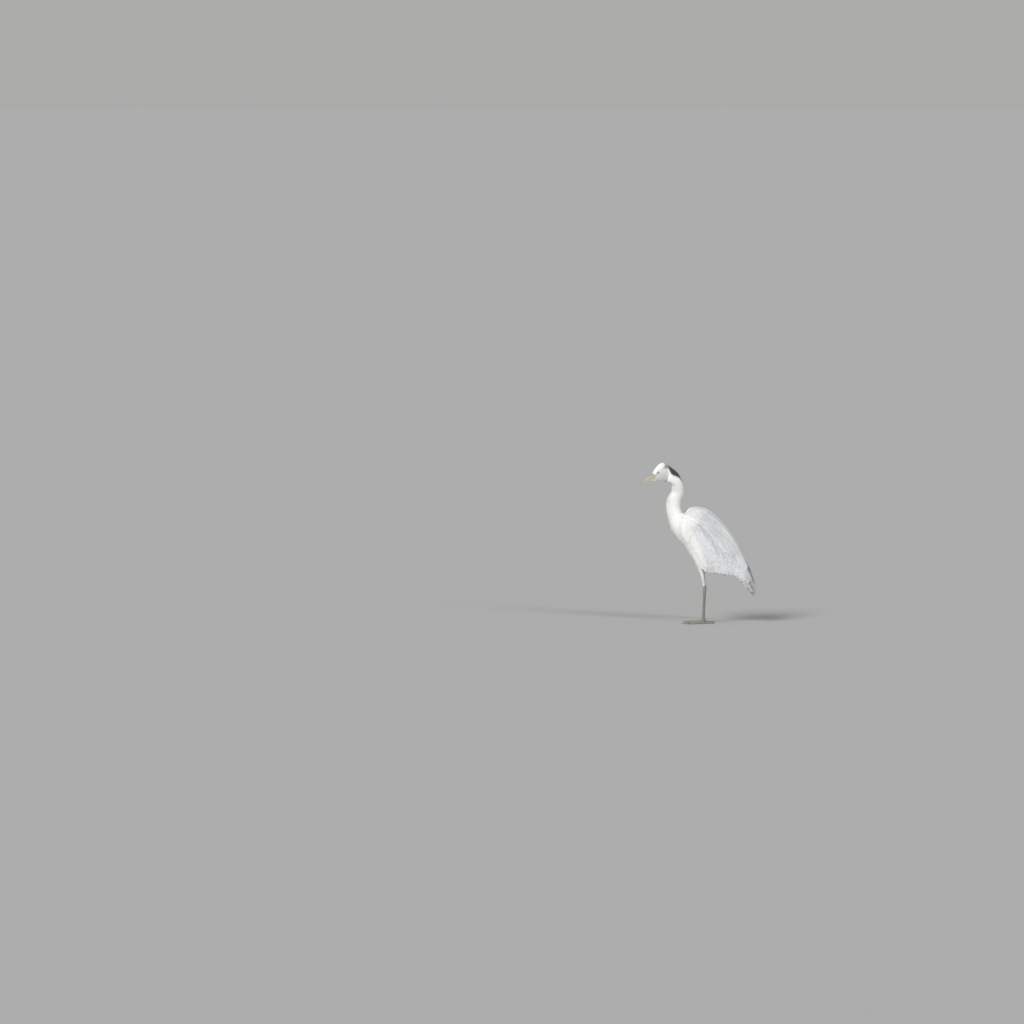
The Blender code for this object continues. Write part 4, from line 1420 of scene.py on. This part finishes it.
iris = {
    "radius": 0.0053, "pupil": 0.43, "edge": 0.90, "colour": (0.78, 0.66, 0.20), "rim": (0.10, 0.08, 0.03),
}


def eyeMaterial():
    # pupil, rayed iris and dark rim under a clear wet coat
    made, tree, shader = newMaterial("eyeBall", 0.08, Coat_Weight=1.0, Coat_Roughness=0.02)
    place = node(tree, "ShaderNodeUVMap", uv_map="irisMap").outputs[0]
    out = node(tree, "ShaderNodeVectorMath", {0: place}, operation="LENGTH").outputs["Value"]
    spot = mathNode(tree, "MULTIPLY_ADD", noiseNode(tree, place, 9.0, 3.0), 0.10, out)
    ramp = node(tree, "ShaderNodeValToRGB", {"Fac": spot})
    stops = ramp.color_ramp.elements
    stops[0].position, stops[0].color = iris["pupil"] + 0.04, (0.004, 0.004, 0.004, 1)
    stops[1].position, stops[1].color = 1.0, (*iris["rim"], 1)
    for position, shade in ((iris["pupil"] + 0.065, 0.55), (0.62, 1.0), (iris["edge"] - 0.04, 0.9)):
        stop = stops.new(position)
        stop.color = (*[c * shade for c in iris["colour"]], 1)
    tree.links.new(ramp.outputs[0], shader.inputs["Base Color"])
    return made


def makeEye(name, side, material):
    centre, axes = eyeCentre(side), eyeAxes(side)
    ball = ellipsoid("ball_" + name, centre, axes, (eye["radius"], eye["radius"], eye["bulge"]), 48, 32)
    turnOutwards(ball.data)
    away = [np.array(ball.data.vertices[loop.vertex_index].co) - centre for loop in ball.data.loops]
    places = [(float(a @ axes[0]) / iris["radius"], float(a @ axes[1]) / iris["radius"]) for a in away]
    mapOnto(ball, "irisMap", np.array(places))
    ball.data.materials.append(material)
    settle(ball, (name,))


eyeSurface = eyeMaterial()
for name, side in (("eye_left", 1), ("eye_right", -1)):
    makeEye(name, side, eyeSurface)
print("eyes set")

mandibles = {
    "bill_upper": {"up": 1, "depth": 0.0145, "width": 0.0106, "slot": "upper_bill", "short": 0,
                   "horn": (0.54, 0.51, 0.40), "dark": (0.16, 0.15, 0.13), "darkShare": 1.0},
    "bill_lower": {"up": -1, "depth": 0.0132, "width": 0.0100, "slot": "lower_bill", "short": 0.001,
                   "horn": (0.82, 0.76, 0.54), "dark": (0.60, 0.52, 0.32), "darkShare": 0.6},
}
billShape = {
    "steps": 90, "around": 65, "crowding": 1.15, "taper": 0.58, "tip": 0.04, "full": 0.9, "inHead": 0.004,
    "ridge": 0.0003, "ridgeWidth": 0.20, "low": 0.0002, "seam": 0.00015, "crease": 60,
    # the nostril's slit and its groove: their width round the bill, and where they start and end along it
    "slitWidth": 0.050, "slitStart": (0.0425, 0.0450), "slitEnd": (0.0585, 0.0550), "slitDeep": 0.10,
    "grooveWidth": 0.13, "grooveStart": (0.038, 0.043), "grooveEnd": (0.105, 0.062), "grooveDeep": 0.045,
    # the angle from the ridge at which both run, and how far they slant towards the edge
    "slitSide": 0.84, "slitSlant": 0.10, "slantAlong": (0.042, 0.060),
}
# the ridge and the point are the horn's own darker colour; the nostril slit, its groove and the cutting edges
# are painted shade, for the dark in the opening, in the recess and in the seam where the mandibles meet
hornTintAndShade = {"ridge": 0.60, "point": 0.30, "slit": 0.90, "groove": 0.18, "edge": 0.22}  # how dark each is


def makeMandible(name, kind):
    # a half of the bill: ridged above or keeled below, with a thin cutting edge; the upper half has a groove
    # that runs to the nostril
    shape, up = billShape, kind["up"]
    steps, around = shape["steps"], shape["around"]
    rings, colours = [], []
    length = bill["length"] - kind["short"]
    turn = np.pi * np.arange(around) / (around - 1)
    side = np.abs(turn - np.pi / 2)
    for k in range(steps + 1):
        t = (k / steps) ** shape["crowding"]
        slim = (1 - t) ** shape["taper"] * (1 - shape["tip"]) + shape["tip"]
        x = bill["base"] - shape["inHead"] * (k == 0) + t * length
        across = kind["width"] * slim * np.cos(turn)
        rise = kind["depth"] * slim * np.sin(turn) ** shape["full"]
        ridge = np.exp(-(((turn - np.pi / 2) / shape["ridgeWidth"]) ** 2))
        rise = rise + shape["ridge"] * ridge * slim - shape["low"]
        slit, groove = np.zeros(around), np.zeros(around)
        if up > 0:
            off = side - (shape["slitSide"] + shape["slitSlant"] * ease(x, *shape["slantAlong"]))
            slit = np.exp(-((off / shape["slitWidth"]) ** 2)) * ease(x, *shape["slitStart"])
            slit = slit * ease(x, *shape["slitEnd"])
            groove = np.exp(-((off / shape["grooveWidth"]) ** 2)) * ease(x, *shape["grooveStart"])
            groove = groove * ease(x, *shape["grooveEnd"])
            across = across * (1 - shape["slitDeep"] * slit - shape["grooveDeep"] * groove)
        level = bill["gape"] + up * shape["seam"]
        rings.append(inHead(np.full(around, x), across, level + up * np.maximum(rise, 0)))
        dark = hornTintAndShade["ridge"] * ease(side, 0.80, 0.10) + hornTintAndShade["point"] * ease(t, 0.55, 1.0)
        tone = blend(evenly(kind["horn"], around), np.array(kind["dark"]), dark * kind["darkShare"])
        # painted shade in the nostril slit and its groove
        tone = tone * (1 - hornTintAndShade["slit"] * slit - hornTintAndShade["groove"] * groove)[:, None]
        # painted shade along the cutting edges, where the two mandibles meet
        colours.append(tone * (1 - hornTintAndShade["edge"] * ease(side, 1.44, 1.56))[:, None])
    made = lofted(name + "_horn", rings)
    made.data.materials.append(hornMaterial)
    paint(made, np.concatenate(colours + [colours[0][:1], colours[-1][:1]]))
    places = [(k, s) for s in range(steps + 1) for k in range(around)]
    places = np.array(places + [(around / 2, 0), (around / 2, steps)]) / (around, steps)
    corners = np.zeros(len(made.data.loops), np.int32)
    made.data.loops.foreach_get("vertex_index", corners)
    mapOnto(made, "hornMap", places[corners])
    made.data.set_sharp_from_angle(angle=math.radians(shape["crease"]))
    settle(made, (name,))


for name, kind in mandibles.items():
    makeMandible(name, kind)
print("bill made")

foot = {"toeRadius": 0.0038, "start": 0.009, "back": 0.0025, "taper": 0.34, "knuckle": 0.14, "sunk": 0.88,
        "narrow": 0.98, "rings": 60, "around": 28, "tip": ((0.86, 0.0006), (0.55, 0.0011))}
legMesh = {"rings": 120, "around": 36, "inset": 0.0003, "voxel": 0.0009, "rounds": 2}
toes = (  # name, degrees outwards from straight ahead, root to the side, length, joints along it
    ("inner", -22, 0.0058, 0.060, (0.36, 0.70)),
    ("middle", 3, 0.0002, 0.082, (0.30, 0.56, 0.80)),
    ("outer", 27, -0.0058, 0.068, (0.26, 0.48, 0.70, 0.86)),
    ("hind", 172, 0.0, 0.046, (0.55,)),
)
# bands of plates: range of u, range of v, step along and across, size of a plate, unevenness
largePlate, smallPlate = (0.0060, 0.0046, 0.0011), (0.0022, 0.0023, 0.0006)
legBands = (
    ((4.3, 9.8), (0.39, 0.61), 0.0042, 0.0050, largePlate, 0.03),
    ((0.9, 10.6), (0.64, 1.36), 0.0023, 0.0023, (0.0025, 0.0027, 0.0007), 0.08),
    ((0.9, 4.3), (0.38, 0.62), 0.0027, 0.0027, (0.0030, 0.0030, 0.0008), 0.08),
    ((10.4, 12.7), (0, 1), 0.0024, 0.0026, (0.0027, 0.0028, 0.0008), 0.08),
)
toeBands = (
    ((0.02, 0.99), (-0.12, 0.12), 0.0027, 0.0042, (0.0047, 0.0030, 0.0009), 0.04),
    ((0.02, 0.98), (0.15, 0.33), 0.0021, 0.0021, smallPlate, 0.08),
    ((0.02, 0.98), (0.67, 0.85), 0.0021, 0.0021, smallPlate, 0.08),
)
# the shin's share is painted light, paler towards the top of the shin
legLook = {"skin": (0.235, 0.222, 0.182), "plates": 1.12, "joint": 0.25, "ankle": 0.157, "shin": 0.35,
           "sunk": 0.22}  # share of a plate's thickness that is under the skin
upwards = np.array([0, 0, 1.0])


def limbRow(side):
    return np.array([legOval(side, *values) for values in (
        (0.0000, 0.2000, 0.0046, 0.0048), (0.0005, 0.1915, 0.0045, 0.0045),
        (0.0030, 0.1760, 0.0045, 0.0043), (0.0050, 0.1640, 0.0062, 0.0058),
        (0.0058, 0.1560, 0.0069, 0.0063), (0.0056, 0.1460, 0.0058, 0.0050),
        (0.0045, 0.1300, 0.0046, 0.0037), (0.0030, 0.0900, 0.0042, 0.0033),
        (0.0012, 0.0500, 0.0042, 0.0035), (0.0002, 0.0300, 0.0049, 0.0045),
        (-0.0005, 0.0200, 0.0061, 0.0061), (-0.0013, 0.0145, 0.0081, 0.0079),
        (-0.0025, 0.0090, 0.0124, 0.0111), (-0.0030, 0.0040, 0.0149, 0.0129),
        (-0.0030, 0.0002, 0.0140, 0.0121),
    )])


def toeLine(side, angle, inward):
    # a toe's root on the floor, the way it points and the way across it
    turn = math.radians(angle) * side
    heading = np.array([-math.cos(turn), -math.sin(turn), 0.0])
    root = legAxis + (setBack(side) - 0.0005 - foot["back"], -side * legs["apart"] / 2 + inward * side, 0)
    return root, heading, np.cross(upwards, heading)


def toeRadius(t, joints):
    knuckle = sum(np.exp(-(((t - j) / 0.06) ** 2)) for j in joints)
    return foot["toeRadius"] * (1 - foot["taper"] * t) * (1 + foot["knuckle"] * knuckle)


def toeShell(side, angle, inward, length, joints):
    root, heading, across = toeLine(side, angle, inward)

    def middle(u):
        return root + heading * (foot["start"] + (length - foot["start"]) * u)[..., None]

    def point(u, v):
        u, v = np.asarray(u, float), np.asarray(v, float)
        radius = toeRadius(u, joints)
        turn = 2 * np.pi * v
        p = middle(u) + upwards * (radius * foot["sunk"])[..., None]
        p = p + upwards * (radius * np.cos(turn))[..., None]
        p = p + across * (radius * foot["narrow"] * np.sin(turn))[..., None]
        p[..., 2] = np.maximum(p[..., 2], 0.0002)
        return p

    def outward(u, v, p):
        return p - middle(np.asarray(u)) - upwards * 0.003

    return Shell(point, outward, True)


def plateTree(material):
    # sets a domed plate on every point, turned and sized by the point's own values
    tree = bpy.data.node_groups.new("platesOnSkin", "GeometryNodeTree")
    face = tree.interface
    face.new_socket(name="Geometry", in_out="INPUT", socket_type="NodeSocketGeometry")
    for name, kind, value in (("Plate size", "Float", 1.0), ("Unevenness", "Float", 0.1), ("Seed", "Int", 3)):
        face.new_socket(name=name, in_out="INPUT", socket_type="NodeSocket" + kind).default_value = value
    face.new_socket(name="Geometry", in_out="OUTPUT", socket_type="NodeSocketGeometry")
    start, end = tree.nodes.new("NodeGroupInput"), tree.nodes.new("NodeGroupOutput")
    plate = node(tree, "GeometryNodeMeshUVSphere", {"Segments": 10, "Rings": 4, "Radius": 0.5})
    turn = node(tree, "GeometryNodeInputNamedAttribute", {"Name": "turn"}, data_type="FLOAT_VECTOR")
    size = node(tree, "GeometryNodeInputNamedAttribute", {"Name": "size"}, data_type="FLOAT_VECTOR")
    low = mathNode(tree, "SUBTRACT", 1.0, start.outputs["Unevenness"])
    high = mathNode(tree, "ADD", 1.0, start.outputs["Unevenness"])
    vary = node(tree, "FunctionNodeRandomValue", {"Min": low, "Max": high, "Seed": start.outputs["Seed"]},
                data_type="FLOAT")
    both = mathNode(tree, "MULTIPLY", vary.outputs["Value"], start.outputs["Plate size"])
    scaled = node(tree, "ShaderNodeVectorMath", {0: size.outputs[0], "Scale": both}, operation="SCALE")
    placed = node(tree, "GeometryNodeInstanceOnPoints", {
        "Points": start.outputs["Geometry"], "Instance": plate.outputs["Mesh"],
        "Rotation": turn.outputs[0], "Scale": scaled.outputs[0]})
    real = node(tree, "GeometryNodeRealizeInstances", {"Geometry": placed.outputs[0]})
    smooth = node(tree, "GeometryNodeSetShadeSmooth", {"Geometry": real.outputs[0]})
    finished = node(tree, "GeometryNodeSetMaterial", {"Geometry": smooth.outputs[0], "Material": material})
    tree.links.new(finished.outputs[0], end.inputs["Geometry"])
    return tree


def platePlaces(shell, uRange, vRange, along, across, plate, jitter):
    # where a band's plates sit, how each is turned, and its size
    u, v = scatter(shell, uRange, vRange, along, across, jitter)
    p, alongU, _, n = shell.frameAt(u, v)
    d = unit(alongU)
    side = unit(np.cross(n, d))
    turns = [tuple(Matrix((side[i], d[i], n[i])).transposed().to_euler()) for i in range(len(u))]
    return p - n * plate[2] * legLook["sunk"], np.array(turns), np.tile(plate, (len(u), 1))


def platesOn(name, places, tree, seed):
    # points carry their turn and size; the result is one plain mesh
    points, turns, sizes = (np.concatenate(values) for values in zip(*places))
    mesh = bpy.data.meshes.new(name)
    mesh.from_pydata([tuple(p) for p in points], [], [])
    for label, values in (("turn", turns), ("size", sizes)):
        layer = mesh.attributes.new(label, "FLOAT_VECTOR", "POINT")
        layer.data.foreach_set("vector", values.astype(np.float32).ravel())
    made = linked(name, mesh)
    change = made.modifiers.new("plates", "NODES")
    change.node_group = tree
    for socket in tree.interface.items_tree:
        if socket.item_type == "SOCKET" and socket.in_out == "INPUT" and socket.name == "Seed":
            change[socket.identifier] = seed
    return applied(made)


def paintLeg(made, gain=1.0):
    # paler at the ankle, and painted light that makes the shin paler where it runs into the feathers
    z = coordsOf(made)[:, 2]
    joint = ease(np.abs(z - legLook["ankle"]), 0.020, 0.002)
    tone = gain * (1 + legLook["joint"] * joint + legLook["shin"] * ease(z, 0.175, 0.196))
    paint(made, np.array(legLook["skin"]) * tone[:, None])


claw = {"length": 0.012, "tone": (0.060, 0.052, 0.045), "base": 0.72 * 0.92, "curve": 1.35, "narrow": 0.75,
        "taper": 0.8, "ridge": 0.10, "ridgeWidth": 0.35, "point": 0.00022, "clear": 0.0004, "gap": 0.0003,
        "inToe": 0.0008, "rings": 25, "around": 20}


def makeClaw(name, side, angle, inward, length, joints):
    # a curved claw, ridged along its top, that rests on its point
    root, heading, across = toeLine(side, angle, inward)
    base = float(toeRadius(1.0, joints)) * claw["base"]
    turn = np.linspace(0, 2 * np.pi, claw["around"], endpoint=False)
    ridge = np.exp(-((turn - np.pi * 2 * (turn > np.pi)) / claw["ridgeWidth"]) ** 2)
    ridge = 1 + claw["ridge"] * ridge
    rings = []
    for t in np.linspace(0, 1, claw["rings"]):
        size = base * (1 - t) ** claw["taper"] + claw["point"]
        height = max(base * claw["curve"] * (1 - t * t) + claw["clear"], size)
        ahead = length + claw["gap"] + claw["length"] * t - claw["inToe"] * (t == 0)
        centre = root + heading * ahead + upwards * height
        wide = size * claw["narrow"] * np.sin(turn)
        ring = centre + upwards * (size * np.cos(turn) * ridge)[:, None] + across * wide[:, None]
        ring[:, 2] = np.maximum(ring[:, 2], 0.0)
        rings.append(ring)
    made = lofted(name + "_horn", rings)
    made.data.materials.append(clawMaterial)
    paint(made, np.tile(claw["tone"], (len(made.data.vertices), 1)))
    settle(made, (name,))


def makeLeg(tag, side, tree, seed):
    shell = rowShell(limbRow(side), span=(0, 14))
    pieces = [insetLoft("limb", shell, 0, 14, legMesh["rings"], legMesh["around"], legMesh["inset"])]
    places = [platePlaces(shell, *band) for band in legBands]
    for label, angle, inward, length, joints in toes:
        toe = toeShell(side, angle, inward, length, joints)
        points = foot["around"]
        around = np.arange(points) / points
        rings = [toe.point(np.full(points, t), around) for t in np.linspace(-0.12, 1.0, foot["rings"])]
        heading = toeLine(side, angle, inward)[1]
        tip, closing = rings[-1].mean(0), []
        for share, ahead in foot["tip"]:
            closing.append(tip + (rings[-1] - tip) * share + heading * ahead)
        pieces.append(lofted("toe", rings + closing))
        places += [platePlaces(toe, *band) for band in toeBands]
        makeClaw(f"claw_{label}_{tag}", side, angle, inward, length, joints)
    leg = remeshed(joined("leg_" + tag, pieces), legMesh["voxel"], legMesh["rounds"])
    surface(leg, legMaterial)
    paintLeg(leg)
    settle(leg, [f"{n}_{tag}" for n in ("shin", "tarsus", "palm", "toe_inner", "toe_middle",
                                                   "toe_outer", "toe_hind")])
    plates = platesOn("plates_" + tag, places, tree, seed)
    paintLeg(plates, legLook["plates"])
    settle(plates)
    print("leg", tag, len(leg.data.polygons) * 2, "plates", len(plates.data.polygons) * 2)


plates = plateTree(legMaterial)
for tag, side, seed in (("left", 1, 5), ("right", -1, 6)):
    makeLeg(tag, side, plates, seed)
print("legs made")

studio = {
    "floor": 0.385, "radius": 300.0, "sky": 0.41, "skyTint": (1.0, 0.995, 0.985, 1),
    # strength, softness in degrees and the way to the lamp
    "key": (2.5, 22, (-0.75, -0.95, 1.0)), "fill": (1.0, 16, (0.8, -0.9, 0.7)),
}


def floorMaterial(grey):
    made, tree, shader = newMaterial("floorPaint", 0.9, Specular_IOR_Level=0.1)
    mottle = noiseNode(tree, objectPlace(tree), 3.0, 4.0)
    ends = {"Value": mottle, "To Min": grey * 0.985, "To Max": grey * 1.015}
    share = node(tree, "ShaderNodeMapRange", ends)
    tree.links.new(share.outputs[0], shader.inputs["Base Color"])
    return made


def makeStudio():
    shape = bmesh.new()
    bmesh.ops.create_circle(shape, cap_ends=True, segments=96, radius=studio["radius"])
    floor = fromShape("floor", shape)
    floor.location = (0, 0, -0.0002)
    floor.data.materials.append(floorMaterial(studio["floor"]))
    for name in ("key", "fill"):
        strength, softness, aim = studio[name]
        light = bpy.data.lights.new(name, "SUN")
        light.energy = strength
        light.angle = math.radians(softness)
        lamp = linked(name, light)
        lamp.rotation_euler = Vector(aim).to_track_quat("Z", "Y").to_euler()
    world = bpy.data.worlds.new("studio")
    world.use_nodes = True
    background = world.node_tree.nodes["Background"]
    background.inputs["Color"].default_value = studio["skyTint"]
    background.inputs["Strength"].default_value = studio["sky"]
    bpy.context.scene.world = world
    bpy.context.scene.view_settings.view_transform = "Standard"


# the camera looks at the target from the bird's left side; wide is what it takes in there
lens = {"target": (-0.8786, 0.0, 0.5119), "elevation": 4.0, "distance": 30.0, "wide": 4.71, "sensor": 36.0}


def placeCamera():
    data = bpy.data.cameras.new("camera")
    data.sensor_width = lens["sensor"]
    data.lens = lens["sensor"] * lens["distance"] / lens["wide"]
    data.clip_end = 1000.0
    camera = linked("camera", data)
    angle = math.radians(lens["elevation"])
    back = Vector((0, -math.cos(angle), math.sin(angle)))
    camera.location = Vector(legAxis + np.array(lens["target"])) + back * lens["distance"]
    camera.rotation_euler = back.to_track_quat("Z", "Y").to_euler()
    bpy.context.scene.camera = camera


makeStudio()
placeCamera()
print("studio ready")
